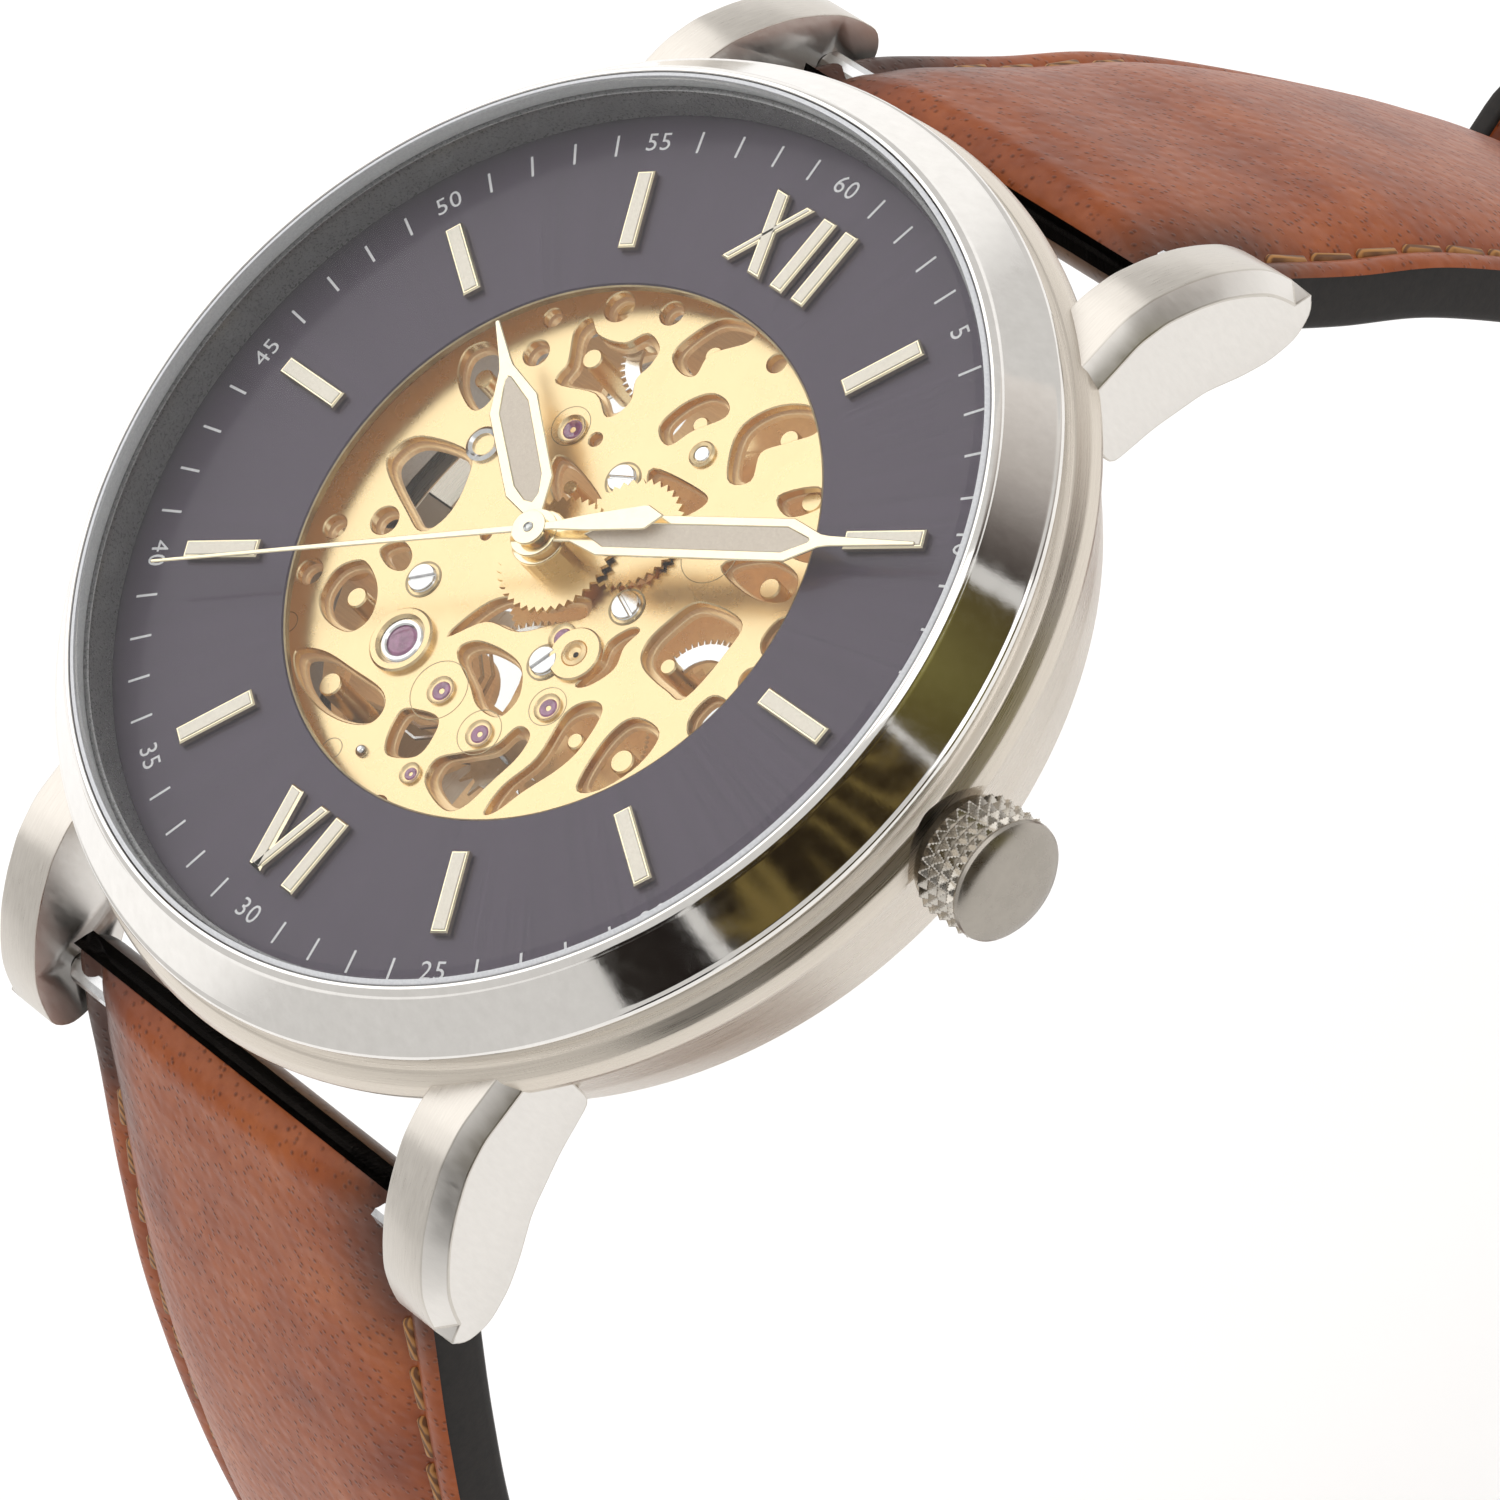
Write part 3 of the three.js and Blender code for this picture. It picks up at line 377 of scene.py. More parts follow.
MAT = {
    "bezel": turned_metal("polished_bezel", (0.86, 0.835, 0.80), (0.80, 0.775, 0.74), 0.06, 0.11, 40.0, 1.5,
                          0.004),
    "band": turned_metal("brushed_band", (0.74, 0.675, 0.59), (0.64, 0.58, 0.505), 0.24, 0.34, 5.0, 22.0,
                         0.012),
    "lug": metal("brushed_lug", (0.68, 0.64, 0.585), (0.58, 0.54, 0.49), 0.26, 0.38, (7, 0.5, 0.5), 2.2,
                 0.012),
    "polish": metal("polished_steel", (0.80, 0.775, 0.735), (0.74, 0.715, 0.675), 0.08, 0.14, (1, 1, 1), 1.2,
                    0.004),
    "lug_side": metal("satin_lug", (0.82, 0.79, 0.75), (0.76, 0.73, 0.69), 0.3, 0.4, (1, 3, 1), 1.4, 0.006),
    "crown_cap": metal("crown_cap_steel", (0.41, 0.375, 0.33), (0.36, 0.33, 0.29), 0.24, 0.32, (1, 1, 1), 1.2,
                       0.003),
    "crown": metal("crown_steel", (0.60, 0.56, 0.50), (0.52, 0.485, 0.43), 0.2, 0.28, (1, 1, 1), 1.2, 0.004),
    "gilt": metal("gilt_plate", (0.83, 0.635, 0.365), (0.78, 0.59, 0.335), 0.24, 0.32, (1, 1, 1), 0.7, 0.001),
    # Painted light: gilt_brushed and brass below glow with a warm emission standing in for bounce light.
    "gilt_brushed": warmed(metal("gilt_brushed", (0.82, 0.63, 0.38), (0.66, 0.48, 0.27), 0.3, 0.42,
                                 (0.4, 6, 1), 2.2, 0.01, 0.6)),
    # Painted shade: a darker copy of the gilt for recesses, the dial window's inner rim, the screw sinks, the
    # eye's sunk core and the engraved rings.
    "gilt_shaded": metal("gilt_shaded_recess", (0.42, 0.33, 0.20), (0.26, 0.20, 0.12), 0.3, 0.42, (1, 1, 1), 1.1, 0.01),
    "hands": metal("pale_gold", (0.97, 0.86, 0.64), (0.93, 0.81, 0.58), 0.14, 0.22, (1, 1, 1), 2.0, 0.003),
    "brass": warmed(metal("wheel_brass", (0.80, 0.63, 0.36), (0.66, 0.50, 0.27), 0.24, 0.36, (1, 1, 1), 1.6,
                          0.006, 0.75)),
    "steel": metal("movement_steel", (0.70, 0.70, 0.70), (0.55, 0.55, 0.56), 0.16, 0.28, (1, 1, 1), 2.0,
                   0.006),
    "screw": metal("screw_steel", (0.84, 0.83, 0.84), (0.70, 0.69, 0.70), 0.12, 0.2, (1, 1, 1), 2.0, 0.004),
    "ruby": jewel_material(),
    "dial": dial_material(),
    "rehaut": paint_material("rehaut_grey", (0.24, 0.235, 0.24), (0.17, 0.165, 0.17), 0.28, 0.6),
    "print": paint_material("dial_print", (0.78, 0.77, 0.79), (0.66, 0.65, 0.68), 0.5),
    "index_top": paint_material("index_silver", (0.74, 0.68, 0.60), (0.66, 0.60, 0.52), 0.3, 0.35),
    "lume": paint_material("lume", (0.70, 0.61, 0.52), (0.62, 0.53, 0.45), 0.55),
    "glass": glass_material("mineral_glass", (0.975, 0.98, 0.975)),
    "gasket": paint_material("gasket_plastic", (0.72, 0.73, 0.75), (0.58, 0.59, 0.62), 0.35),
    "rubber": paint_material("black_rubber", (0.03, 0.03, 0.03), (0.015, 0.015, 0.015), 0.7),
    "plastic": paint_material("holder_plastic", (0.55, 0.54, 0.53), (0.45, 0.44, 0.43), 0.5),
    "leather": leather_material("tan_leather", (0.42, 0.112, 0.024), (0.325, 0.072, 0.011),
                                (0.20, 0.038, 0.006), 0.28),
    "lining": leather_material("lining_leather", (0.30, 0.17, 0.10), (0.25, 0.135, 0.075), (0.18, 0.09, 0.05),
                               0.04),
    "edge": edge_material(),
    "thread": thread_material(),
    "hole": paint_material("hole_shadow", (0.02, 0.015, 0.012), (0.01, 0.008, 0.006), 0.8),
}


# ---------------------------------------------------------------- mesh helpers

def finish_piece(piece, body, slot_name, *nodes):
    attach(piece, body)
    if nodes:
        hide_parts(*nodes)
    return piece


def smooth(mesh, angle=SHARP):
    mesh.shade_smooth()
    mesh.set_sharp_from_angle(angle=angle)


def new_piece(name, vertices, faces, materials, face_slots=None, angle=SHARP):
    """An object from vertices in millimetres."""
    mesh = bpy.data.meshes.new(name)
    mesh.from_pydata([(x * MM, y * MM, z * MM) for x, y, z in vertices], [], faces)
    for material in materials if isinstance(materials, list) else [materials]:
        mesh.materials.append(material)
    if face_slots:
        mesh.polygons.foreach_set("material_index", face_slots)
    tidy_normals(mesh)
    smooth(mesh, angle)
    piece = bpy.data.objects.new(name, mesh)
    bpy.context.scene.collection.objects.link(piece)
    return piece


def tidy_normals(mesh):
    shape = bmesh.new()
    shape.from_mesh(mesh)
    bmesh.ops.remove_doubles(shape, verts=shape.verts, dist=MM * 1e-4)
    bmesh.ops.recalc_face_normals(shape, faces=shape.faces)
    shape.to_mesh(mesh)
    shape.free()


def turned_data(profile, segments, at=(0, 0)):
    """Vertices and faces of a profile of (radius, z) turned about Z. A closed profile makes a ring."""
    ring = profile[0] == profile[-1]
    points = profile[:-1] if ring else profile
    vertices, rows = [], []
    for radius, z in points:
        if radius == 0:
            rows.append([len(vertices)] * segments)
            vertices.append((at[0], at[1], z))
            continue
        rows.append(list(range(len(vertices), len(vertices) + segments)))
        for i in range(segments):
            angle = 2 * math.pi * i / segments
            vertices.append((at[0] + radius * math.cos(angle), at[1] + radius * math.sin(angle), z))
    pairs = list(zip(rows, rows[1:] + ([rows[0]] if ring else [])))
    faces = []
    for one, two in (pairs if ring else pairs[:len(rows) - 1]):
        for i in range(segments):
            j = (i + 1) % segments
            corners = []
            for corner in (one[i], one[j], two[j], two[i]):
                if corner not in corners:
                    corners.append(corner)
            if len(corners) > 2:
                faces.append(corners)
    return vertices, faces


def turned(name, profile, material, segments=FINE, at=(0, 0), angle=SHARP):
    vertices, faces = turned_data(profile, segments, at)
    return new_piece(name, vertices, faces, material, angle=angle)


def disc_profile(radius, low, high, bevel=0.05):
    return [(0, low), (radius - bevel, low), (radius, low + bevel), (radius, high - bevel),
            (radius - bevel, high), (0, high)]


def rotated(points, angle, at=(0, 0)):
    c, s = math.cos(angle), math.sin(angle)
    return [(at[0] + x * c - y * s, at[1] + x * s + y * c) for x, y in points]


def circle_loop(x, y, radius, steps=32):
    return [(x + radius * math.cos(2 * math.pi * i / steps), y + radius * math.sin(2 * math.pi * i / steps))
            for i in range(steps)]


def rounded(points, steps=6):
    """A closed loop through the points, as a smooth curve."""
    count = len(points)
    loop = []
    for i in range(count):
        a, b, c, d = (Vector(points[(i + k) % count]) for k in (-1, 0, 1, 2))
        for j in range(steps):
            t = j / steps
            place = 0.5 * ((2 * b) + (c - a) * t + (2 * a - 5 * b + 4 * c - d) * t * t
                           + (3 * b - a - 3 * c + d) * t ** 3)
            loop.append((place.x, place.y))
    return loop


def slab_mesh(name, loops, low, high, bevel=0.04):
    """A flat solid from closed loops in millimetres, the first outside and the rest holes."""
    curve = bpy.data.curves.new(name, "CURVE")
    curve.dimensions = "2D"
    curve.fill_mode = "BOTH"
    curve.extrude = ((high - low) / 2 - bevel) * MM
    curve.bevel_depth = bevel * MM
    curve.bevel_resolution = 0
    curve.offset = -bevel * MM
    for loop in loops:
        spline = curve.splines.new("POLY")
        spline.points.add(len(loop) - 1)
        for point, (x, y) in zip(spline.points, loop):
            point.co = (x * MM, y * MM, 0, 1)
        spline.use_cyclic_u = True
    holder = bpy.data.objects.new(name + "_curve", curve)
    bpy.context.scene.collection.objects.link(holder)
    depsgraph = bpy.context.evaluated_depsgraph_get()
    mesh = bpy.data.meshes.new_from_object(holder.evaluated_get(depsgraph))
    bpy.data.objects.remove(holder)
    bpy.data.curves.remove(curve)
    mesh.transform(Matrix.Translation((0, 0, (low + high) / 2 * MM)))
    return mesh


def slab(name, loops, low, high, material, bevel=0.04):
    mesh = slab_mesh(name, loops, low, high, bevel)
    mesh.name = name
    mesh.materials.clear()
    mesh.materials.append(material)
    tidy_normals(mesh)
    smooth(mesh)
    piece = bpy.data.objects.new(name, mesh)
    bpy.context.scene.collection.objects.link(piece)
    return piece


def joined(name, pieces):
    """One object from several, keeping their materials."""
    bpy.ops.object.select_all(action="DESELECT")
    for piece in pieces:
        piece.select_set(True)
    bpy.context.view_layer.objects.active = pieces[0]
    bpy.ops.object.join()
    whole = bpy.context.view_layer.objects.active
    whole.name = name
    whole.data.name = name
    return whole


def softened(points, radius, steps=4):
    """The same closed outline with every corner rounded off."""
    loop = []
    count = len(points)
    for i, place in enumerate(points):
        corner = Vector(place)
        before = Vector(points[i - 1]) - corner
        after = Vector(points[(i + 1) % count]) - corner
        reach = min(radius, before.length * 0.45, after.length * 0.45)
        first = corner + before.normalized() * reach
        last = corner + after.normalized() * reach
        for k in range(steps + 1):
            t = k / steps
            bent = first * (1 - t) ** 2 + corner * 2 * t * (1 - t) + last * t * t
            loop.append((bent.x, bent.y))
    return loop


def soft_turned(name, profile, material, corner=0.06, segments=FINE, at=(0, 0)):
    loop = softened(profile, corner, 3)
    return turned(name, loop + [loop[0]], material, segments, at, angle=math.radians(40))


def along_x(piece, z):
    """Turns a piece made about Z to lie about X at height z."""
    piece.data.transform(Matrix.Rotation(math.radians(90), 4, "Y"))
    piece.data.transform(Matrix.Translation((0, 0, z * MM)))
    return piece


def cut_by(piece, cutters):
    """Cuts the cutters out of the piece and removes them."""
    bpy.context.view_layer.update()
    for cutter in cutters:
        modifier = piece.modifiers.new("cut", "BOOLEAN")
        modifier.operation = "DIFFERENCE"
        modifier.solver = "MANIFOLD"
        modifier.object = cutter
    depsgraph = bpy.context.evaluated_depsgraph_get()
    mesh = bpy.data.meshes.new_from_object(piece.evaluated_get(depsgraph))
    piece.modifiers.clear()
    piece.data = mesh
    for cutter in cutters:
        bpy.data.objects.remove(cutter)
    return piece


def rod_cutter(radius, x0, x1, y, z, segments=48):
    profile = [(0, x0), (radius, x0), (radius, x1), (0, x1)]
    piece = turned("cutter", profile, MAT["hole"], segments)
    piece.data.transform(Matrix.Rotation(math.radians(90), 4, "Y"))
    piece.data.transform(Matrix.Translation((0, y * MM, z * MM)))
    return piece


# ---------------------------------------------------------------- case

CASE_PROFILE = [
    (18.65, 0.9), (19.3, 1.2), (20.3, 3.6), (21.25, 6.25), (21.5, 6.6), (21.85, 6.85), (22.0, 7.3),
    (21.86, 7.85), (21.5, 8.45), (21.1, 8.62), (20.95, 8.75), (20.95, 9.0), (19.4, 9.0),
    (19.4, 8.85), (17.8, 8.85), (17.8, 2.5), (18.65, 2.5),
]
BEZEL_PROFILE = [
    (19.55, 9.1), (21.15, 9.1), (21.4, 9.22), (21.47, 9.45), (21.42, 9.62), (21.28, 9.72),
    (19.96, 11.44), (19.9, 11.58), (19.68, 11.76), (19.55, 11.74),
]
LUG_SIDE = [
    (15.3, 8.2), (19.3, 7.9), (20.8, 7.35), (22.2, 6.4), (23.3, 5.45), (24.2, 4.4), (24.9, 3.4), (25.3, 2.4),
    (25.6, 1.2), (25.1, 0.4), (24.0, 0.1), (22.6, 0.5), (21.4, 1.2), (19.9, 2.3), (17.5, 3.3), (15.3, 3.9),
]
LUG_INNER_X = 11.15
LUG_OUTER_X = 14.2


def lug(name, side_x, side_y):
    """One lug: brushed on top, with a broad polished bevel along its outer top edge."""
    outline = softened(LUG_SIDE, 0.5, 3)
    shape = bmesh.new()
    inner = [shape.verts.new((LUG_INNER_X * side_x * MM, y * side_y * MM, z * MM)) for y, z in outline]
    outer = [shape.verts.new((LUG_OUTER_X * side_x * MM, y * side_y * MM, z * MM)) for y, z in outline]
    count = len(outline)
    top_edges = []
    for i in range(count):
        j = (i + 1) % count
        shape.faces.new((inner[i], inner[j], outer[j], outer[i]))
        rise = outline[j][0] - outline[i][0]
        if rise > 0.02 and outline[i][0] > 15.4:
            top_edges.append((outer[i], outer[j]))
    shape.faces.new(inner)
    shape.faces.new(outer)
    bmesh.ops.recalc_face_normals(shape, faces=shape.faces)
    chosen = [shape.edges.get(pair) for pair in top_edges]
    made = bmesh.ops.bevel(shape, geom=chosen, offset=0.75 * MM, segments=1, affect="EDGES", profile=0.5)
    for face in made["faces"]:
        face.material_index = 1
    for face in shape.faces:
        if abs(face.normal.x) > 0.9:
            face.material_index = 1
    sharp = [e for e in shape.edges if len(e.link_faces) == 2 and e.calc_face_angle(0) > math.radians(24)]
    bmesh.ops.bevel(shape, geom=sharp, offset=0.07 * MM, segments=2, affect="EDGES", profile=0.6)
    mesh = bpy.data.meshes.new(name)
    shape.to_mesh(mesh)
    shape.free()
    mesh.materials.append(MAT["lug"])
    mesh.materials.append(MAT["lug_side"])
    smooth(mesh, math.radians(22))
    piece = bpy.data.objects.new(name, mesh)
    bpy.context.scene.collection.objects.link(piece)
    cut_by(piece, [rod_cutter(0.5, -12.25, 12.25, side_y * BAR_Y, BAR_Z, 24)])
    return finish_piece(piece, "case", "brushed_steel", "case_middle")


def case_body():
    body = soft_turned("case_band", CASE_PROFILE, MAT["band"], 0.08)
    cutters = [
        rod_cutter(2.78, 21.15, 26, 0, STEM_Z, 96),
        rod_cutter(1.0, 16, 23, 0, STEM_Z, 48),
    ]
    cut_by(body, cutters)
    smooth(body.data, math.radians(35))
    finish_piece(body, "case", "brushed_steel", "case_middle")
    for side_x, letter in ((1, "a"), (-1, "b")):
        lug(f"lug_12_{letter}", side_x, 1)
        lug(f"lug_6_{letter}", side_x, -1)


def bezel():
    ring = soft_turned("bezel_ring", BEZEL_PROFILE, MAT["bezel"], 0.05)
    finish_piece(ring, "case", "polished_steel", "bezel")


def crystal():
    profile = [
        (0, CRYSTAL_LOW), (19.22, CRYSTAL_LOW), (19.25, CRYSTAL_LOW + 0.05), (19.25, CRYSTAL_TOP - 0.2),
        (19.03, CRYSTAL_TOP - 0.01), (18.95, CRYSTAL_TOP), (0, CRYSTAL_TOP),
    ]
    finish_piece(turned("crystal_glass", profile, MAT["glass"]), "case", "crystal", "crystal")
    gasket = soft_turned("crystal_seal", [(19.3, 10.9), (19.5, 10.9), (19.5, 11.72), (19.3, 11.8)],
                         MAT["gasket"], 0.04)
    finish_piece(gasket, "case", "plastic", "crystal_gasket")


def case_back():
    """Back ring with six tool notches, and its display glass."""
    notches = [rotated(softened([(16.6, -0.9), (17.9, -0.9), (17.9, 0.9), (16.6, 0.9)], 0.3),
                       math.radians(60 * i))
               for i in range(6)]
    outer = circle_loop(0, 0, 18.35, 160)
    inner = circle_loop(0, 0, 13.12, 160)
    face = slab("case_back_face", [outer, inner, *notches], 0.0, 0.45, MAT["lug"], 0.08)
    finish_piece(face, "case", "brushed_steel", "case_back")
    body = soft_turned("case_back_body", [(13.12, 0.45), (18.35, 0.45), (18.35, 2.1), (13.12, 2.1)],
                       MAT["band"], 0.06)
    finish_piece(body, "case", "brushed_steel", "case_back")
    lip = soft_turned("case_back_lip", [(13.0, 0.02), (13.55, 0.02), (13.45, 0.3), (13.0, 0.3)],
                      MAT["polish"], 0.05)
    finish_piece(lip, "case", "polished_steel", "case_back")
    glass = [(0, 0.06), (12.85, 0.06), (12.95, 0.16), (12.95, 1.15), (12.9, 1.2), (0, 1.2)]
    finish_piece(turned("case_back_window", glass, MAT["glass"]), "case", "crystal", "case_back_glass")


# ---------------------------------------------------------------- crown

def crown():
    """Knurled crown: four rows of small pyramids, and a smooth, slightly domed end."""
    rows, around, steps = 4, 28, 8
    start, end = 21.85, 23.95
    base, height = 2.26, 0.3
    vertices, faces = [], []
    lines = rows * steps
    ring = around * steps
    for i in range(lines + 1):
        for j in range(ring):
            across = abs((i % steps) / steps * 2 - 1)
            along = abs((j % steps) / steps * 2 - 1)
            radius = base + height * (1 - max(across, along))
            angle = 2 * math.pi * j / ring
            x = start + (end - start) * i / lines
            vertices.append((x, radius * math.cos(angle), STEM_Z + radius * math.sin(angle)))
    for i in range(lines):
        for j in range(ring):
            k = (j + 1) % ring
            faces.append((i * ring + j, i * ring + k, (i + 1) * ring + k, (i + 1) * ring + j))
    grip = new_piece("crown_grip", vertices, faces, MAT["crown"], angle=math.radians(15))
    finish_piece(grip, "crown", "brushed_steel", "crown")
    end_profile = [
        (0, 23.6), (2.2, 23.6), (2.22, 23.93), (2.44, 23.97), (2.46, 24.05), (2.42, 24.2), (2.2, 24.4),
        (1.75, 24.55), (1.0, 24.66), (0, 24.7),
    ]
    cap = along_x(turned("crown_cap", end_profile, MAT["crown_cap"], 128), STEM_Z)
    finish_piece(cap, "crown", "brushed_steel", "crown")
    collar = [(0.62, 21.5), (2.2, 21.5), (2.26, 21.6), (2.26, 21.88), (2.0, 21.92), (0, 21.92)]
    finish_piece(along_x(turned("crown_collar", collar, MAT["crown"], 96), STEM_Z), "crown", "brushed_steel",
                 "crown")


# ---------------------------------------------------------------- dial

def clock(radius, degrees, across=0.0):
    """A point at radius towards a clock angle, shifted across to the clockwise side."""
    angle = math.radians(90 - degrees)
    return (radius * math.cos(angle) + across * math.sin(angle),
            radius * math.sin(angle) - across * math.cos(angle))


def dial():
    profile = [(11.5, 9.02), (19.2, 9.02), (19.2, 9.3), (11.56, 9.3), (11.5, 9.24)]
    finish_piece(turned("dial_plate", profile + [profile[0]], MAT["dial"]), "case", "dial_paint", "dial")
    back = [(11.5, 8.95), (19.2, 8.95), (19.2, 9.02), (11.5, 9.02)]
    finish_piece(turned("dial_back", back + [back[0]], MAT["brass"]), "case", "gilt", "dial")
    # The window's inner rim in darker gilt: painted shade.
    rim = [(11.42, 8.93), (11.54, 8.93), (11.56, 9.22), (11.5, 9.235), (11.43, 9.2)]
    finish_piece(turned("dial_window_rim", rim + [rim[0]], MAT["gilt_shaded"]), "case", "gilt", "dial")
    wall = [(18.95, 9.4), (19.3, 9.4), (19.3, 11.05), (19.05, 11.05), (18.98, 10.2)]
    loop = softened(wall, 0.03, 2)
    finish_piece(turned("rehaut_wall", loop + [loop[0]], MAT["rehaut"]), "case", "rehaut_paint",
                 "rehaut_ring")


def dial_print():
    """Minute ticks, and a number at every fifth minute."""
    tick_in, tick_out, tick_width = 17.35, 18.3, 0.11
    level = DIAL_TOP + PRINT_LIFT
    vertices, faces = [], []
    for minute in range(60):
        if minute % 5:
            start = len(vertices)
            for radius, across in ((tick_in, -1), (tick_out, -1), (tick_out, 1), (tick_in, 1)):
                x, y = clock(radius, minute * 6, across * tick_width / 2)
                vertices.append((x, y, level))
            faces.append(tuple(range(start, start + 4)))
    ticks = new_piece("minute_ticks", vertices, faces, MAT["print"])
    numbers = [number_mesh(minute) for minute in range(5, 65, 5)]
    finish_piece(joined("dial_print", [ticks, *numbers]), "case", "dial_paint")


def number_mesh(minute):
    """A printed number at its minute; those in the lower half are turned to read upright."""
    text = bpy.data.curves.new("number", "FONT")
    text.body = str(minute)
    text.size = 1.12 * MM
    text.space_character = 1.1
    text.align_x = "CENTER"
    text.align_y = "CENTER"
    text.resolution_u = 3
    holder = bpy.data.objects.new("number", text)
    bpy.context.scene.collection.objects.link(holder)
    depsgraph = bpy.context.evaluated_depsgraph_get()
    mesh = bpy.data.meshes.new_from_object(holder.evaluated_get(depsgraph))
    bpy.data.objects.remove(holder)
    turn = -minute * 6 + (180 if 15 < minute < 45 else 0)
    x, y = clock(17.8, minute * 6)
    mesh.transform(Matrix.Rotation(math.radians(turn), 4, "Z"))
    mesh.transform(Matrix.Translation((x * MM, y * MM, (DIAL_TOP + PRINT_LIFT) * MM)))
    mesh.materials.clear()
    mesh.materials.append(MAT["print"])
    piece = bpy.data.objects.new("number", mesh)
    bpy.context.scene.collection.objects.link(piece)
    return piece


def marker(name, shapes, node):
    """An applied marker: a bevelled gold body with a silver inlay on its top."""
    body = joined(name, [slab(name, [shape], DIAL_TOP + 0.02, INDEX_TOP - 0.04, MAT["hands"], 0.06)
                         for shape in shapes])
    finish_piece(body, "case", "gilt", node)
    inlays = [slab(name + "_top", [inset(shape, 0.115)], INDEX_TOP - 0.08, INDEX_TOP, MAT["index_top"], 0.02)
              for shape in shapes]
    finish_piece(joined(name + "_top", inlays), "case", "gilt", node)


def inset(shape, gap):
    """A convex outline moved inwards by gap."""
    area = sum(a[0] * b[1] - b[0] * a[1] for a, b in zip(shape, shape[1:] + shape[:1]))
    turn = 1 if area > 0 else -1
    moved = []
    count = len(shape)
    for i, place in enumerate(shape):
        corner = Vector(place)
        before = (corner - Vector(shape[i - 1])).normalized()
        after = (Vector(shape[(i + 1) % count]) - corner).normalized()
        first = Vector((-before.y, before.x)) * turn
        second = Vector((-after.y, after.x)) * turn
        middle = (first + second).normalized()
        shift = gap / max(0.35, middle.dot(first))
        moved.append((corner.x + middle.x * shift, corner.y + middle.y * shift))
    return moved


def stroke(inner_x, outer_x, width):
    half = width / 2
    return [(inner_x - half, INDEX_IN), (inner_x + half, INDEX_IN), (outer_x + half, INDEX_OUT),
            (outer_x - half, INDEX_OUT)]


def markers():
    for hour in (1, 2, 3, 4, 5, 7, 8, 9, 10, 11):
        bar = rotated(stroke(0, 0, 0.78), math.radians(-hour * 30))
        marker(f"baton_{hour}", [bar], f"index_{hour}")
    twelve = [stroke(-0.55, -2.05, 0.72), stroke(-2.25, -0.4, 0.42), stroke(0.75, 0.75, 0.72),
              stroke(2.0, 2.0, 0.72)]
    marker("roman_12", twelve, "numeral_12")
    six = [stroke(1.75, 0.9, 0.7), stroke(0.0, 0.9, 0.5), stroke(-1.05, -1.05, 0.72)]
    marker("roman_6", [rotated(shape, math.pi) for shape in six], "numeral_6")


# ---------------------------------------------------------------- hands

def mirrored(half):
    return [*half, *[(-x, y) for x, y in reversed(half) if x > 0]]


def hand(name, body, node, half, window, hub, hole, z, thick, degrees):
    """A faceted hand with a luminous insert, pointing to a clock angle."""
    turn = math.radians(-degrees)
    blade = [rotated(mirrored(half), turn)]
    if window:
        blade.append(rotated(mirrored(window), turn))
    metal_part = slab(name, blade, z, z + thick, MAT["hands"], 0.035)
    ring = soft_turned(name + "_hub", [(hole, z - 0.02), (hub, z - 0.02), (hub, z + thick + 0.03),
                                       (hole, z + thick + 0.03)],
                       MAT["hands"], 0.03, 64)
    finish_piece(joined(name, [metal_part, ring]), body, "gilt", node)
    if window:
        filled = rotated(mirrored([(max(0, x - 0.005), y) for x, y in window]), turn)
        lume = slab(name + "_lume", [filled], z + 0.01, z + thick - 0.03, MAT["lume"], 0.01)
        finish_piece(lume, body, "gilt", node)


def clock_angle(node):
    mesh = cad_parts[node].data
    tip = max((v.co for v in mesh.vertices), key=lambda place: place.x ** 2 + place.y ** 2)
    return math.degrees(math.atan2(tip.x, tip.y)) % 360


def hands():
    hour = [(0.36, 0.9), (0.36, 1.2), (1.02, 2.5), (1.05, 6.5), (0.32, 8.3), (0.26, 8.7), (0.1, 10.6),
            (0, 10.65)]
    hour_lume = [(0, 1.75), (0.3, 2.0), (0.58, 2.8), (0.62, 6.35), (0.12, 7.75), (0, 7.85)]
    minute = [(0.34, 0.8), (0.34, 1.7), (0.88, 3.0), (0.9, 11.2), (0.28, 12.5), (0.22, 12.9), (0.08, 16.5),
              (0, 16.55)]
    minute_lume = [(0, 2.3), (0.5, 3.2), (0.52, 11.0), (0.08, 12.0), (0, 12.05)]
    second = [(0, -5.8), (0.5, -5.1), (0.52, -4.9), (0.36, -2.6), (0.17, -1.0), (0.15, 0), (0.075, 16.8),
              (0, 16.85)]
    hand("hour_blade", "hours", "hour_hand", hour, hour_lume, 1.15, 0.5, 9.95, 0.15, clock_angle("hour_hand"))
    hand("minute_blade", "minutes", "minute_hand", minute, minute_lume, 1.0, 0.4, 10.4, 0.12,
         clock_angle("minute_hand"))
    hand("second_blade", "seconds", "seconds_hand", second, None, 0.72, 0.2, 10.85, 0.1,
         clock_angle("seconds_hand"))
    pin = [(0, 10.7), (0.2, 10.7), (0.2, 11.0), (0.12, 11.04), (0.1, 10.99), (0, 10.98)]
    finish_piece(turned("second_pin", pin, MAT["steel"], 32), "seconds", "gilt", "seconds_hand")


# ---------------------------------------------------------------- movement

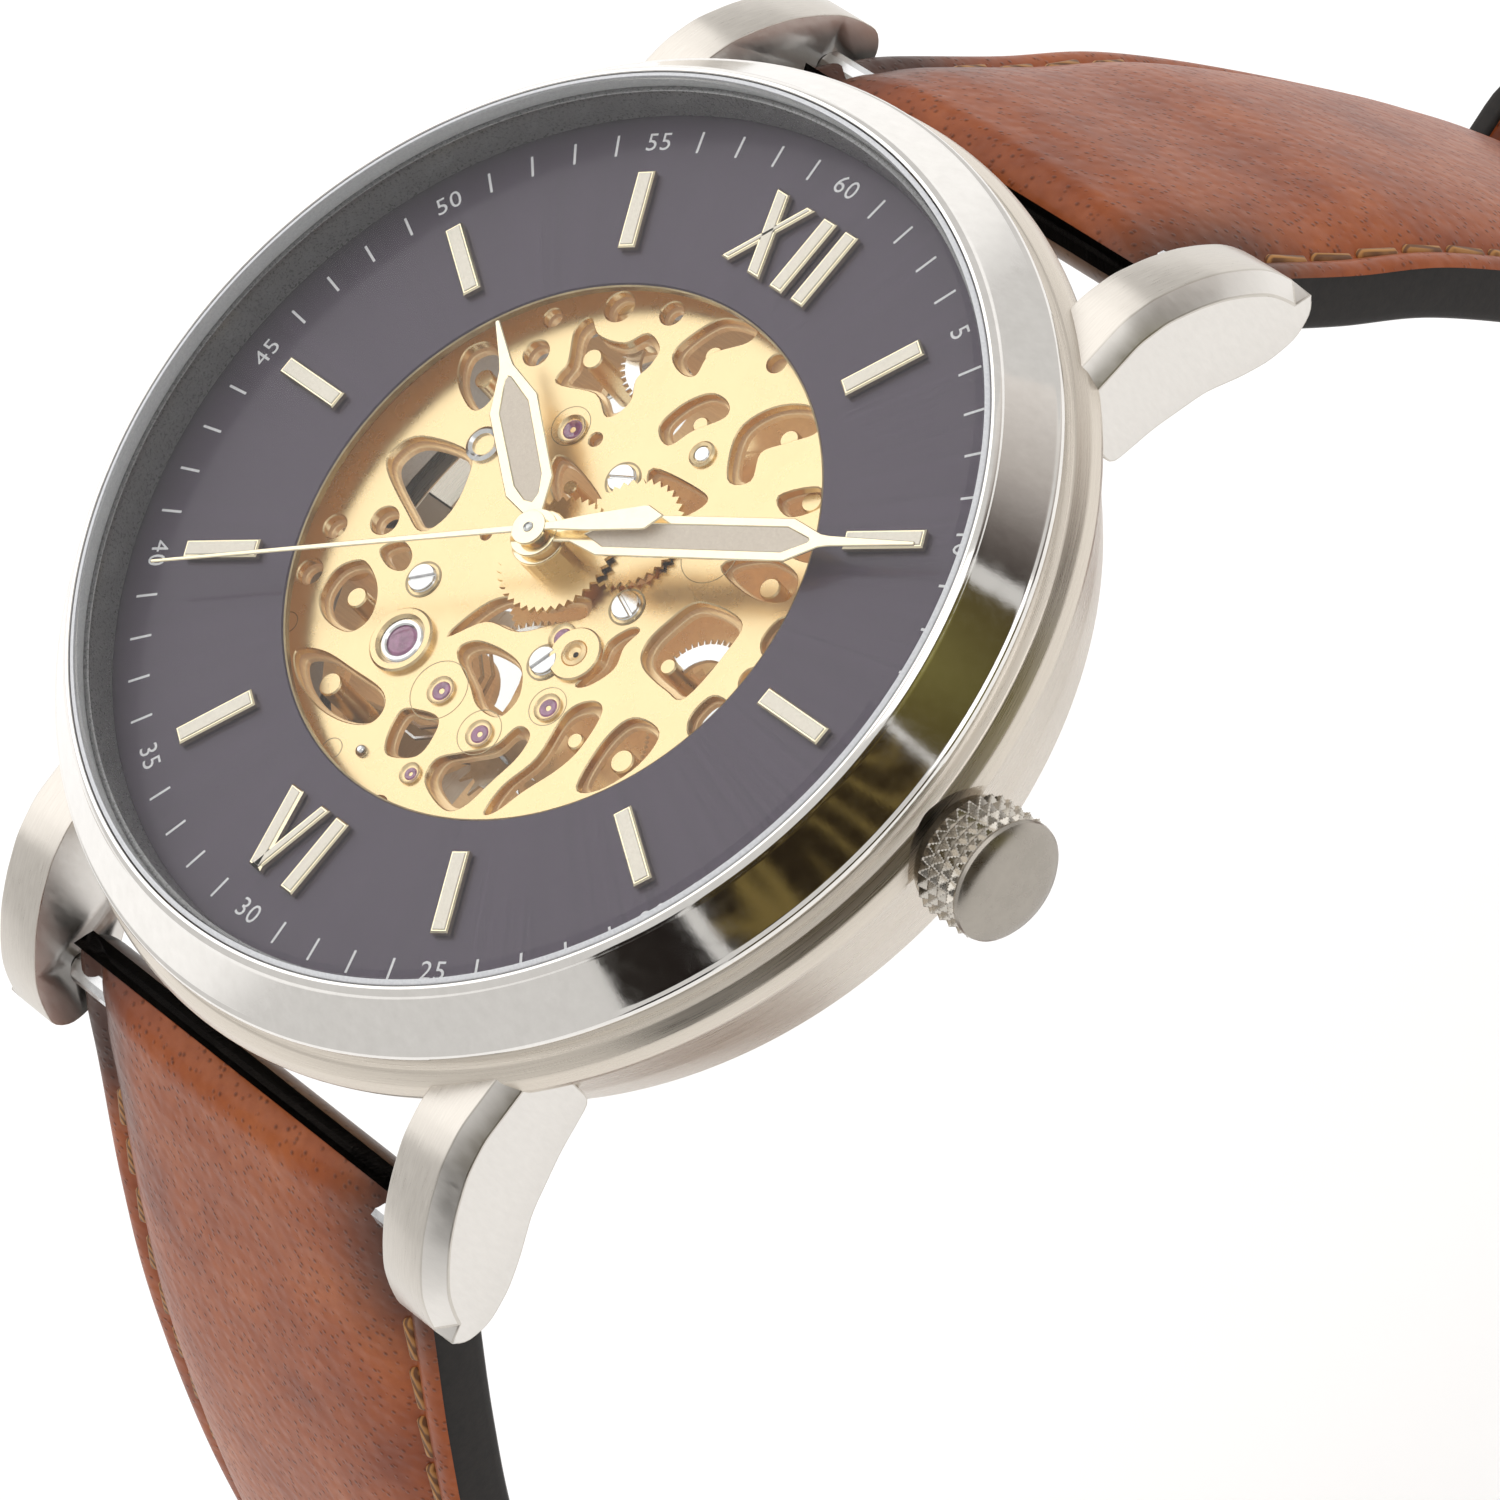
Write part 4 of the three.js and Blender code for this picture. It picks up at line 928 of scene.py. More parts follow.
# Windows of the skeleton plate as seen from the dial, each a few points that a smooth curve joins.
PLATE_WINDOWS = [
    [(-10.1, 3.5), (-10.8, 4.6), (-10.1, 5.4), (-8.8, 4.9), (-8.2, 3.6), (-8.6, 2.9)],
    [(-7.1, 7.7), (-6.9, 8.4), (-6.0, 8.0), (-4.7, 8.3), (-4.1, 9.1), (-3.2, 8.9), (-3.0, 8.2), (-3.1, 7.4),
     (-2.6, 6.5), (-3.0, 5.6), (-4.2, 6.1), (-6.1, 5.6), (-6.3, 6.5)],
    [(-2.4, 9.0), (-2.3, 10.0), (-1.6, 11.2), (-0.1, 11.6), (0.1, 11.0), (-1.0, 9.8), (-0.9, 8.8),
     (-1.6, 8.6)],
    [(-0.6, 6.4), (-0.4, 7.6), (0.3, 8.5), (1.2, 8.6), (1.6, 8.1), (0.8, 7.0), (0.3, 6.0)],
    [(2.6, 7.9), (3.2, 9.4), (4.6, 10.2), (5.6, 9.6), (4.8, 8.6), (4.1, 7.7), (4.6, 6.6), (3.7, 6.2)],
    [(6.2, 6.7), (7.4, 7.8), (8.1, 7.3), (7.2, 6.3)],
    [(-3.7, 3.2), (-2.5, 3.3), (-0.2, 2.6), (-1.2, 1.6), (-2.9, 2.1)],
    [(0.5, 4.9), (3.0, 5.2), (3.6, 4.9), (2.9, 3.9), (1.3, 4.0)],
    [(-10.0, -0.9), (-10.4, -0.1), (-9.7, 0.9), (-7.3, 1.4), (-6.4, 0.3), (-6.1, -1.1), (-6.6, -2.1),
     (-7.8, -1.8)],
    [(-8.5, -6.4), (-8.7, -5.2), (-8.0, -4.4), (-7.0, -4.6), (-6.2, -5.2), (-5.8, -6.1), (-6.2, -6.9),
     (-7.5, -7.0)],
    [(-7.6, -3.6), (-7.0, -2.9), (-6.2, -3.1), (-6.0, -3.7), (-6.7, -3.95)],
    [(-2.1, -4.8), (-1.9, -3.6), (-1.4, -2.6), (-0.6, -2.1), (0.7, -1.7), (1.5, -0.9), (2.3, -0.6),
     (2.6, -1.2),
     (1.8, -1.9), (0.5, -3.1), (-1.1, -3.5)],
    [(-1.2, -5.1), (-0.9, -4.4), (0.2, -4.1), (1.4, -4.1), (2.1, -4.5), (2.6, -5.3), (2.4, -6.2), (1.3, -6.3),
     (0.3, -5.8)],
    [(-7.6, -8.7), (-6.5, -8.1), (-4.7, -8.0), (-3.0, -8.0), (-2.3, -8.5), (-2.4, -9.3), (-3.5, -9.8),
     (-5.0, -9.9),
     (-6.6, -9.5)],
    [(-1.5, -8.2), (-0.9, -7.8), (0.1, -7.6), (0.5, -8.2), (0.5, -9.2), (-0.6, -9.8), (-1.2, -9.3)],
    [(1.7, -9.8), (1.4, -8.9), (2.2, -8.1), (3.2, -7.2), (3.5, -6.1), (4.2, -6.1), (4.4, -7.0), (4.2, -8.2),
     (3.9, -9.7), (3.2, -10.2)],
    [(4.9, -4.6), (5.5, -3.7), (6.2, -3.8), (6.5, -5.3), (6.3, -6.5), (5.7, -7.9), (5.3, -9.1), (4.9, -9.4),
     (4.8, -8.2), (5.2, -6.6)],
    [(5.9, 0.4), (6.5, 1.7), (8.6, 2.0), (9.0, 0.9), (8.9, -1.5), (8.0, -1.7), (6.4, -1.5), (5.8, -0.8)],
    [(4.4, -3.5), (4.9, -3.2), (5.3, -2.2), (5.0, -1.3), (5.1, -0.5), (4.7, -0.6), (4.3, -1.5), (4.6, -2.4)],
    [(1.9, 0.2), (1.5, 1.2), (3.0, 2.1), (3.9, 1.5), (3.4, 0.8)],
    [(6.2, 3.3), (7.5, 4.5), (9.3, 4.6), (9.7, 3.6), (8.3, 3.0)],
    [(7.6, -3.3), (7.2, -4.6), (7.6, -6.6), (8.5, -6.2), (9.2, -4.6), (9.0, -3.2)],
    [(7.9, 5.45), (8.6, 6.1), (9.5, 5.95), (9.5, 5.35), (8.5, 5.1)],
    [(10.0, 1.9), (10.1, 3.0), (11.1, 3.1), (11.4, 1.9), (10.7, 1.4)],
    [(9.9, -0.9), (9.7, -2.0), (10.3, -2.6), (11.1, -1.9), (11.0, -0.9)],
]
PLATE_HOLES = [
    (-6.1, 9.4, 0.65), (-3.8, 10.3, 0.5), (-8.4, 7.6, 0.4), (-7.9, 6.1, 0.55), (-10.2, -3.9, 0.5),
    (-8.4, -2.6, 0.6), (-9.7, -5.9, 0.55), (-2.7, 4.6, 0.28), (-3.9, -0.8, 0.22), (9.0, 7.2, 0.5),
    (10.9, 0.4, 0.55),
    (10.6, -3.4, 0.45), (6.9, -9.4, 0.5), (1.9, 10.9, 0.4), (0.6, -11.6, 0.4), (-5.2, -11.3, 0.35),
]
PLATE_JEWELS = [
    (-3.89, 4.42, 0.44), (-0.56, -6.67, 0.42), (2.29, -7.15, 0.4), (4.09, -4.84, 0.4), (2.45, -2.35, 0.42),
    (0.9, -9.9, 0.28),
]
UPPER_LEVEL = 7.72
LOWER_FROM = 7.3
LOWER_TO = 7.62
CENTRE_HOLE_R = 1.35


def shrunk(loop, share, shift=(0, 0)):
    """The loop drawn in towards its own middle."""
    mid_x = sum(x for x, _ in loop) / len(loop)
    mid_y = sum(y for _, y in loop) / len(loop)
    return [(mid_x + (x - mid_x) * share + shift[0], mid_y + (y - mid_y) * share + shift[1]) for x, y in loop]


def main_plate():
    """Two levels of gilt plate: the outlines of the upper one stand proud of a narrower ledge below."""
    windows = [rounded(loop, 5) for loop in PLATE_WINDOWS]
    holes = [circle_loop(x, y, radius, 28) for x, y, radius in PLATE_HOLES]
    outer = circle_loop(0, 0, 12.15, 160)
    middle = circle_loop(0, 0, CENTRE_HOLE_R, 48)
    balance_hole = circle_loop(BALANCE.x, BALANCE.y, 1.12, 40)
    upper = slab("plate_upper", [outer, middle, balance_hole, *windows, *holes], UPPER_LEVEL, PLATE_TOP,
                 MAT["gilt"], 0.05)
    finish_piece(upper, "case", "gilt", "main_plate")
    ledge_windows = [rounded(shrunk(loop, 0.86, (-0.12, 0.05)), 5) for loop in PLATE_WINDOWS]
    ledge_holes = [circle_loop(x, y, radius * 0.8, 24) for x, y, radius in PLATE_HOLES[:8]]
    rim = circle_loop(0, 0, 13.15, 160)
    ledge = slab("plate_lower", [rim, circle_loop(0, 0, 0.9, 40), circle_loop(BALANCE.x, BALANCE.y, 1.12, 40),
                                 *ledge_windows, *ledge_holes], LOWER_FROM, LOWER_TO, MAT["gilt_brushed"],
                                 0.04)
    finish_piece(ledge, "case", "gilt", "main_plate")
    wall = [(12.3, 7.6), (13.18, 7.6), (13.18, 8.45), (12.85, 8.5), (12.6, 8.2), (12.3, 8.1)]
    finish_piece(soft_turned("plate_rim", wall, MAT["gilt"], 0.04), "case", "gilt", "main_plate")
    pillars = [turned("pillar", disc_profile(0.8, 4.4, 7.4, 0.08), MAT["gilt"], 40,
                      rotated([(12.1, 0)], math.radians(a))[0])
               for a in (125, 200, 285, 340)]
    finish_piece(joined("plate_pillars", pillars), "case", "gilt", "main_plate")


def toothed_sector(name, at, inner, root, teeth, start, end, low, high, material):
    """Part of a toothed ring between two angles in degrees."""
    span = math.radians(end - start)
    pitch = span / teeth
    loop = []
    for i in range(teeth):
        angle = math.radians(start) + i * pitch
        for share, out in ((0.0, 0.0), (0.3, 0.0), (0.42, 0.2), (0.58, 0.2), (0.7, 0.0)):
            turn = angle + share * pitch
            loop.append((at[0] + (root + out) * math.cos(turn), at[1] + (root + out) * math.sin(turn)))
    for k in range(21):
        turn = math.radians(end) - span * k / 20
        loop.append((at[0] + inner * math.cos(turn), at[1] + inner * math.sin(turn)))
    return slab(name, [loop], low, high, material, 0.02)


def hidden_wheels():
    """Rims of the calendar-side wheels that show their teeth in three of the windows."""
    pieces = [
        toothed_sector("fan_teeth", (1.9, -5.0), 2.5, 3.1, 16, 62, 152, 6.98, 7.2, MAT["steel"]),
        toothed_sector("upper_teeth", (-3.3, 9.0), 1.3, 1.95, 16, 195, 335, 6.98, 7.2, MAT["screw"]),
        toothed_sector("right_teeth", (8.5, -0.9), 1.3, 2.0, 18, 40, 170, 6.98, 7.2, MAT["screw"]),
    ]
    finish_piece(joined("window_teeth", pieces), "case", "dark_steel", "main_plate")


def posts():
    """Gilt posts and steps between the levels, seen through the windows."""
    places = [
        (4.4, 8.8, 0.42), (7.2, 7.3, 0.45), (-1.2, 9.9, 0.4), (-9.6, 4.2, 0.4), (0.5, 7.4, 0.35),
        (-5.9, 7.2, 0.45),
        (8.3, 3.7, 0.45), (-7.4, -5.6, 0.45), (-5.6, -8.9, 0.5), (5.7, -5.2, 0.35), (8.1, -4.8, 0.5),
        (-2.6, 2.6, 0.3),
        (6.9, -0.9, 0.35),
    ]
    pieces = [turned("post", disc_profile(radius, 4.6, 7.68, 0.06), MAT["gilt"], 32, (x, y))
              for x, y, radius in places]
    finish_piece(joined("level_posts", pieces), "case", "gilt", "main_plate")


def jewel(x, y, radius, z, ring=0.16):
    """A ruby in its turned sink."""
    sink = [
        (radius * 0.96, z - 0.3), (radius + ring + 0.02, z - 0.3), (radius + ring + 0.02, z + 0.015),
        (radius + ring, z + 0.03), (radius + 0.05, z - 0.05), (radius * 0.96, z - 0.06),
    ]
    stone = [(0, z - 0.3), (radius, z - 0.3), (radius, z - 0.07), (radius * 0.8, z - 0.02),
             (radius * 0.35, z - 0.06),
             (0.06, z - 0.14), (0, z - 0.2)]
    return [
        turned("jewel_sink", sink + [sink[0]], MAT["gilt"], 40, (x, y)),
        turned("jewel", stone, MAT["ruby"], 40, (x, y)),
    ]


def screw(x, y, radius, z, degrees, material="screw"):
    """A slotted screw head with a bevelled rim."""
    head = turned("screw", disc_profile(radius, z - 0.25, z, 0.05), MAT[material], 40, (x, y))
    halves = []
    for side in (1, -1):
        arc = [(radius * 0.97 * math.cos(math.radians(a)), radius * 0.97 * math.sin(math.radians(a)) * side)
               for a in range(6, 175, 12)]
        halves.append(slab("screw_half", [rotated(arc, math.radians(degrees), (x, y))], z - 0.02, z + 0.1,
                           MAT[material], 0.03))
    return [head, *halves]


def plate_jewels():
    pieces = []
    for x, y, radius in PLATE_JEWELS:
        pieces += jewel(x, y, radius, PLATE_TOP + 0.09)
    for x, y, degrees in ((-0.3, 3.9, 25), (-4.9, -3.6, 40), (3.9, 0.0, -20), (2.5, -3.5, 70)):
        # The sink round each screw in darker gilt: painted shade.
        sink = [(0.7, PLATE_TOP - 0.1), (0.78, PLATE_TOP - 0.1), (0.78, PLATE_TOP + 0.03),
                (0.7, PLATE_TOP + 0.02)]
        pieces.append(turned("screw_sink", sink + [sink[0]], MAT["gilt_shaded"], 40, (x, y)))
        pieces += screw(x, y, 0.6, PLATE_TOP + 0.12, degrees)
    finish_piece(joined("plate_fittings", pieces), "case", "gilt", "main_plate")


def plate_details():
    """The shock-proof balance jewel, a raised boss, a steel ball and posts, and fine engraved rings."""
    x, y = BALANCE.x, BALANCE.y
    top = PLATE_TOP
    boss_ring = [(0.95, top - 0.6), (1.38, top - 0.6), (1.38, top + 0.2), (1.3, top + 0.28),
                 (1.08, top + 0.28), (0.95, top + 0.15)]
    clip = [(0.66, top - 0.2), (0.93, top - 0.2), (0.93, top + 0.14), (0.86, top + 0.19), (0.72, top + 0.19),
            (0.66, top + 0.14)]
    stone = [(0, top - 0.2), (0.66, top - 0.2), (0.66, top + 0.08), (0.55, top + 0.17), (0.3, top + 0.22),
             (0, top + 0.23)]
    pieces = [
        turned("shock_ring", boss_ring + [boss_ring[0]], MAT["gilt"], 64, (x, y)),
        turned("shock_clip", clip + [clip[0]], MAT["screw"], 64, (x, y)),
        turned("shock_stone", stone, MAT["ruby"], 48, (x, y)),
    ]
    finish_piece(joined("shock_jewel", pieces), "case", "brass", "shock_setting")
    raised = slab("raised_boss", [circle_loop(3.5, -2.6, 1.12, 56), circle_loop(3.5, -2.6, 0.5, 32)],
                  top - 0.1, top + 0.2,
                  MAT["gilt"], 0.06)
    bush = [(0.12, top - 0.1), (0.5, top - 0.1), (0.5, top + 0.2), (0.36, top + 0.26), (0.28, top + 0.12),
            (0.12, top + 0.06)]
    # A near-black disc in the bush's bore: painted shadow of the hole.
    dark = turned("bush_hole_shadow", disc_profile(0.13, top - 0.1, top + 0.05, 0.01), MAT["hole"], 24, (3.5, -2.6))
    extras = [raised, turned("bush", bush + [bush[0]], MAT["brass"], 48, (3.5, -2.6)), dark]
    ball = [(0.25 * math.sin(math.pi * k / 12), top + 0.05 - 0.25 * math.cos(math.pi * k / 12))
            for k in range(13)]
    ball[0] = (0, ball[0][1])
    ball[-1] = (0, ball[-1][1])
    extras.append(turned("ball", ball, MAT["screw"], 32, (-1.7, -10.3)))
    ring_post = [(0.36, top - 0.1), (0.56, top - 0.1), (0.56, top + 0.1), (0.48, top + 0.16),
                 (0.36, top + 0.1)]
    extras.append(turned("post_ring", ring_post + [ring_post[0]], MAT["gilt"], 40, (2.0, 6.4)))
    extras.append(turned("post_core", disc_profile(0.35, top - 0.1, top + 0.12, 0.06), MAT["screw"], 32,
                         (2.0, 6.4)))
    eye_ring = [(0.48, top - 0.1), (0.76, top - 0.1), (0.76, top + 0.12), (0.62, top + 0.2),
                (0.48, top + 0.1)]
    extras.append(turned("eye_ring", eye_ring + [eye_ring[0]], MAT["screw"], 48, (-6.9, 2.0)))
    # The eye's sunk core in darker gilt: painted shade.
    extras.append(turned("eye_core", disc_profile(0.47, top - 0.2, top - 0.05, 0.03), MAT["gilt_shaded"], 32,
                         (-6.9, 2.0)))
    for ex, ey, radius in ((-0.7, -6.7, 1.25), (2.2, -7.1, 0.95), (-3.0, -10.9, 0.45), (-2.2, 0.9, 0.42),
                           (-8.9, -8.0, 0.45),
                           (5.4, 3.4, 1.2), (-4.1, 4.5, 0.85), (4.0, -4.8, 0.8)):
        # Each engraved ring is a flush band of darker gilt: painted shade standing in for the groove.
        groove = [(radius - 0.018, top - 0.02), (radius + 0.018, top - 0.02), (radius + 0.018, top + 0.006),
                  (radius - 0.018, top + 0.006)]
        extras.append(turned("engraved_ring", groove + [groove[0]], MAT["gilt_shaded"], 56, (ex, ey)))
    finish_piece(joined("plate_details", extras), "case", "gilt", "main_plate")


def train_bridge():
    arc = [rotated([(12.85, 0)], math.radians(a))[0] for a in range(-80, 151, 5)]
    outline = softened([*arc, (-4.6, 1.2), (0.4, -3.6)], 0.3, 2)
    windows = [
        circle_loop(-5.4, 7.4, 2.2, 36), circle_loop(0.4, 9.8, 1.4, 32), circle_loop(8.7, -4.6, 1.8, 32),
        rounded([(6.0, -0.6), (7.6, 0.4), (7.2, -1.8)], 6), circle_loop(-3.0, 3.2, 0.9, 24),
    ]
    windows += [circle_loop(p.x, p.y, 0.34, 20) for p in (THIRD, FOURTH, BARREL)]
    bridge = slab("train_bridge_plate", [outline, *windows], 3.75, 4.3, MAT["gilt_brushed"], 0.07)
    jewels = []
    for place in (THIRD, FOURTH, BARREL):
        ring = [(0.1, 3.74), (0.33, 3.74), (0.33, 4.2), (0.1, 4.2)]
        jewels.append(turned("bridge_jewel", ring + [ring[0]], MAT["ruby"], 32, (place.x, place.y)))
    finish_piece(joined("train_bridge_plate", [bridge, *jewels]), "case", "gilt", "train_bridge")
    cock_arc = [rotated([(1.9, 0)], math.radians(a), (BALANCE.x, BALANCE.y))[0] for a in range(-60, 121, 10)]
    far_arc = [rotated([(12.6, 0)], math.radians(a))[0] for a in range(192, 227, 4)]
    cock = [*cock_arc, (-11.3, -2.2), *far_arc]
    hole = circle_loop(BALANCE.x, BALANCE.y, 0.3, 20)
    piece = slab("balance_bridge_plate", [cock, hole], 3.75, 4.3, MAT["gilt_brushed"], 0.07)
    finish_piece(piece, "case", "gilt", "balance_cock")


def auto_bridge():
    """Three-armed bridge that carries the rotor."""
    pieces = [slab("hub", [circle_loop(0, 0, 4.2, 72), circle_loop(0, 0, 0.85, 32)], 2.75, 3.2,
                   MAT["gilt_brushed"], 0.06)]
    for degrees in (30, 150, 270):
        arm = softened([(3.6, -0.9), (10.1, -0.9), (10.1, 0.9), (3.6, 0.9)], 0.6)
        pieces.append(slab("arm", [rotated(arm, math.radians(degrees))], 2.77, 3.18, MAT["gilt_brushed"],
                           0.06))
    finish_piece(joined("auto_bridge_plate", pieces), "case", "gilt", "auto_bridge")


def rotor():
    """Winding weight: a heavy rim on a pierced web."""
    rim = [rotated([(12.7, 0)], math.radians(a))[0] for a in range(180, 361, 4)]
    rim += [rotated([(10.6, 0)], math.radians(a))[0] for a in range(360, 179, -4)]
    web = [rotated([(10.9, 0)], math.radians(a))[0] for a in range(200, 341, 5)]
    web += [rotated([(1.8, 0)], math.radians(a))[0] for a in range(-20, 201, 10)]
    holes = [circle_loop(-4.0, -5.0, 1.7, 40), circle_loop(4.0, -5.0, 1.7, 40), circle_loop(0, -6.6, 1.7, 40),
             circle_loop(0, 0, 0.78, 32)]
    pieces = [
        slab("rotor_rim", [rim], 1.85, 2.6, MAT["polish"], 0.1),
        slab("rotor_web", [web, *holes], 2.05, 2.45, MAT["lug"], 0.06),
    ]
    finish_piece(joined("rotor_weight", pieces), "rotor", "polished_steel", "rotor")


def barrel_and_wheels():
    """The barrel's brass lid, with a low rim at its edge."""
    x, y = BARREL.x, BARREL.y
    lid = [(0.6, 6.3), (3.2, 6.3), (3.6, 6.36), (3.8, 6.3), (3.8, 6.2), (0.6, 6.2)]
    top = turned("barrel_lid", lid + [lid[0]], MAT["brass"], 96, (x, y))
    finish_piece(top, "barrel", "brass")


NODE_LOOKS = {
    "case_back_gasket": "rubber", "crown_gasket": "rubber", "movement_ring": "plastic",
    "barrel": "brass", "center_wheel": "brass", "third_wheel": "brass", "fourth_wheel": "brass",
    "balance_wheel": "brass", "minute_wheel": "gilt", "hour_wheel": "gilt", "seconds_pinion": "steel",
    "escape_wheel": "steel", "pallet_fork": "steel", "hairspring": "steel", "cannon_pinion": "brass",
    "ratchet_wheel": "steel", "crown_wheel": "steel", "winding_pinion": "steel", "sliding_clutch": "steel",
    "winding_stem": "steel", "spring_bar_12": "steel", "spring_bar_6": "steel", "buckle_bar": "polish",
    "rotor_screw": "screw",
}


def dress_cad_nodes():
    for name, look in NODE_LOOKS.items():
        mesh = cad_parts[name].data
        mesh.materials.clear()
        mesh.materials.append(MAT[look])
        mesh.polygons.foreach_set("material_index", [0] * len(mesh.polygons))
        smooth(mesh, math.radians(32))


# ---------------------------------------------------------------- strap

STRAP_HALF = 10.8
STRAP_TAPER = 0.09
LINE_12 = [
    (BAR_Y, BAR_Z), (24.9, -0.3), (28.1, -4.9), (31.4, -9.3), (37.3, -20.2), (41.0, -28.5), (43.3, -36.5),
    (43.6, -45.0), (42.6, -54.0), (40.6, -62.0), (BUCKLE_Y, BUCKLE_Z),
]
LINE_6 = [
    (-BAR_Y, BAR_Z), (-24.4, -0.6), (-28.0, -7.2), (-30.7, -12.8), (-34.4, -23.0), (-36.6, -32.5),
    (-37.3, -42.0),
    (-37.0, -51.5), (-35.6, -61.0), (-32.6, -70.0), (-27.6, -77.5), (-20.8, -82.8), (-12.8, -85.2),
]


class MiddleLine:
    """The strap's middle line in the (y, z) plane: a centripetal Catmull-Rom curve by its own length."""

    def __init__(self, points, steps=40):
        knots = [Vector(p) for p in points]
        knots = [2 * knots[0] - knots[1], *knots, 2 * knots[-1] - knots[-2]]
        self.places = []
        for i in range(1, len(knots) - 2):
            self.places += [self.between(knots[i - 1:i + 3], k / steps) for k in range(steps)]
        self.places.append(knots[-2].copy())
        self.lengths = [0.0]
        for a, b in zip(self.places, self.places[1:]):
            self.lengths.append(self.lengths[-1] + (b - a).length)
        self.length = self.lengths[-1]

    @staticmethod
    def between(knots, share):
        a, b, c, d = knots
        first, second, third = ((q - p).length ** 0.5 for p, q in ((a, b), (b, c), (c, d)))
        leave = ((b - a) / first - (c - a) / (first + second) + (c - b) / second) * second
        arrive = ((c - b) / second - (d - b) / (second + third) + (d - c) / third) * second
        square, cube = share ** 2, share ** 3
        return (b * (2 * cube - 3 * square + 1) + leave * (cube - 2 * square + share)
                + c * (3 * square - 2 * cube) + arrive * (cube - square))

    def at(self, distance):
        """(place, unit tangent) at a distance along; beyond the ends the line runs straight on."""
        if distance <= 0:
            tangent = (self.places[1] - self.places[0]).normalized()
            return self.places[0] + tangent * distance, tangent
        if distance >= self.length:
            tangent = (self.places[-1] - self.places[-2]).normalized()
            return self.places[-1] + tangent * (distance - self.length), tangent
        low, high = 0, len(self.lengths) - 1
        while high - low > 1:
            middle = (low + high) // 2
            if self.lengths[middle] <= distance:
                low = middle
            else:
                high = middle
        a, b = max(0, low - 1), min(len(self.places) - 1, low + 2)
        share = (distance - self.lengths[low]) / (self.lengths[high] - self.lengths[low])
        place = self.places[low].lerp(self.places[high], share)
        return place, (self.places[b] - self.places[a]).normalized()


CURVE_12 = MiddleLine(LINE_12)
CURVE_6 = MiddleLine(LINE_6)
EDGE_STEPS = [0.0, 0.05, 0.14, 0.3, 0.5, 0.75, 1.0, 1.15, 1.3, 1.45, 1.6, 1.75, 1.95, 2.2, 2.5, 2.9, 3.4, 4.0,
              4.8, 5.8, 7.0, 8.4]


def smoothstep(x, low, high):
    t = min(1.0, max(0.0, (x - low) / (high - low)))
    return t * t * (3 - 2 * t)


def half_thickness(distance, length):
    return 1.9 - 0.75 * smoothstep(distance / length, 0.25, 0.75)


def half_width(z, distance, length, tip):
    """Half the strap's width: it tapers with depth, and may end in a rounded point."""
    down = min(1.0, max(0.0, (BAR_Z - z) / (BAR_Z - BUCKLE_Z)))
    width = STRAP_HALF * (1 - STRAP_TAPER * down)
    left = length - distance
    if tip and left < tip:
        share = 1 - left / tip
        width *= max(0.02, (1 - share ** 2.4)) ** 0.5
    return width


def top_height(inward, half, padding):
    """Height of the outer face above the middle line, at a distance inward from the edge."""
    edge = half * 0.30 + (1 - padding) * half * 0.45
    round_off = 0.22 * (1 - min(1.0, inward / 0.3)) ** 2
    welt = 0.10 * math.exp(-((inward - 0.62) / 0.3) ** 2)
    groove = -0.20 * math.exp(-((inward - 1.42) / 0.26) ** 2)
    crown = (half - edge) * (1 - math.exp(-max(0.0, inward - 1.55) / 2.1)) * (0.35 + 0.65 * padding)
    return edge - round_off + welt + groove + crown


def section(width, half, padding):
    """Points (x, height, kind) round the strap: outer face, painted edges and lining."""
    top = []
    scale = width / STRAP_HALF
    for inward in EDGE_STEPS:
        top.append((width - inward * scale, top_height(inward, half, padding), "leather"))
    points = top + [(0, top_height(STRAP_HALF, half, padding), "leather")]
    points += [(-x, h, kind) for x, h, kind in reversed(top)]
    edge_top = top[0][1]
    side = [(0.03, edge_top - 0.12), (0.08, edge_top - 0.4), (0.1, (edge_top - half) / 2),
            (0.08, -half + 0.5),
            (0.02, -half + 0.2), (-0.14, -half + 0.04)]
    points += [(-(width + out), h, "edge") for out, h in side]
    points += [(-width * share, -half, "lining") for share in (0.94, 0.8, 0.5, 0.2, -0.2, -0.5, -0.8, -0.94)]
    points += [(width + out, h, "edge") for out, h in reversed(side)]
    return points


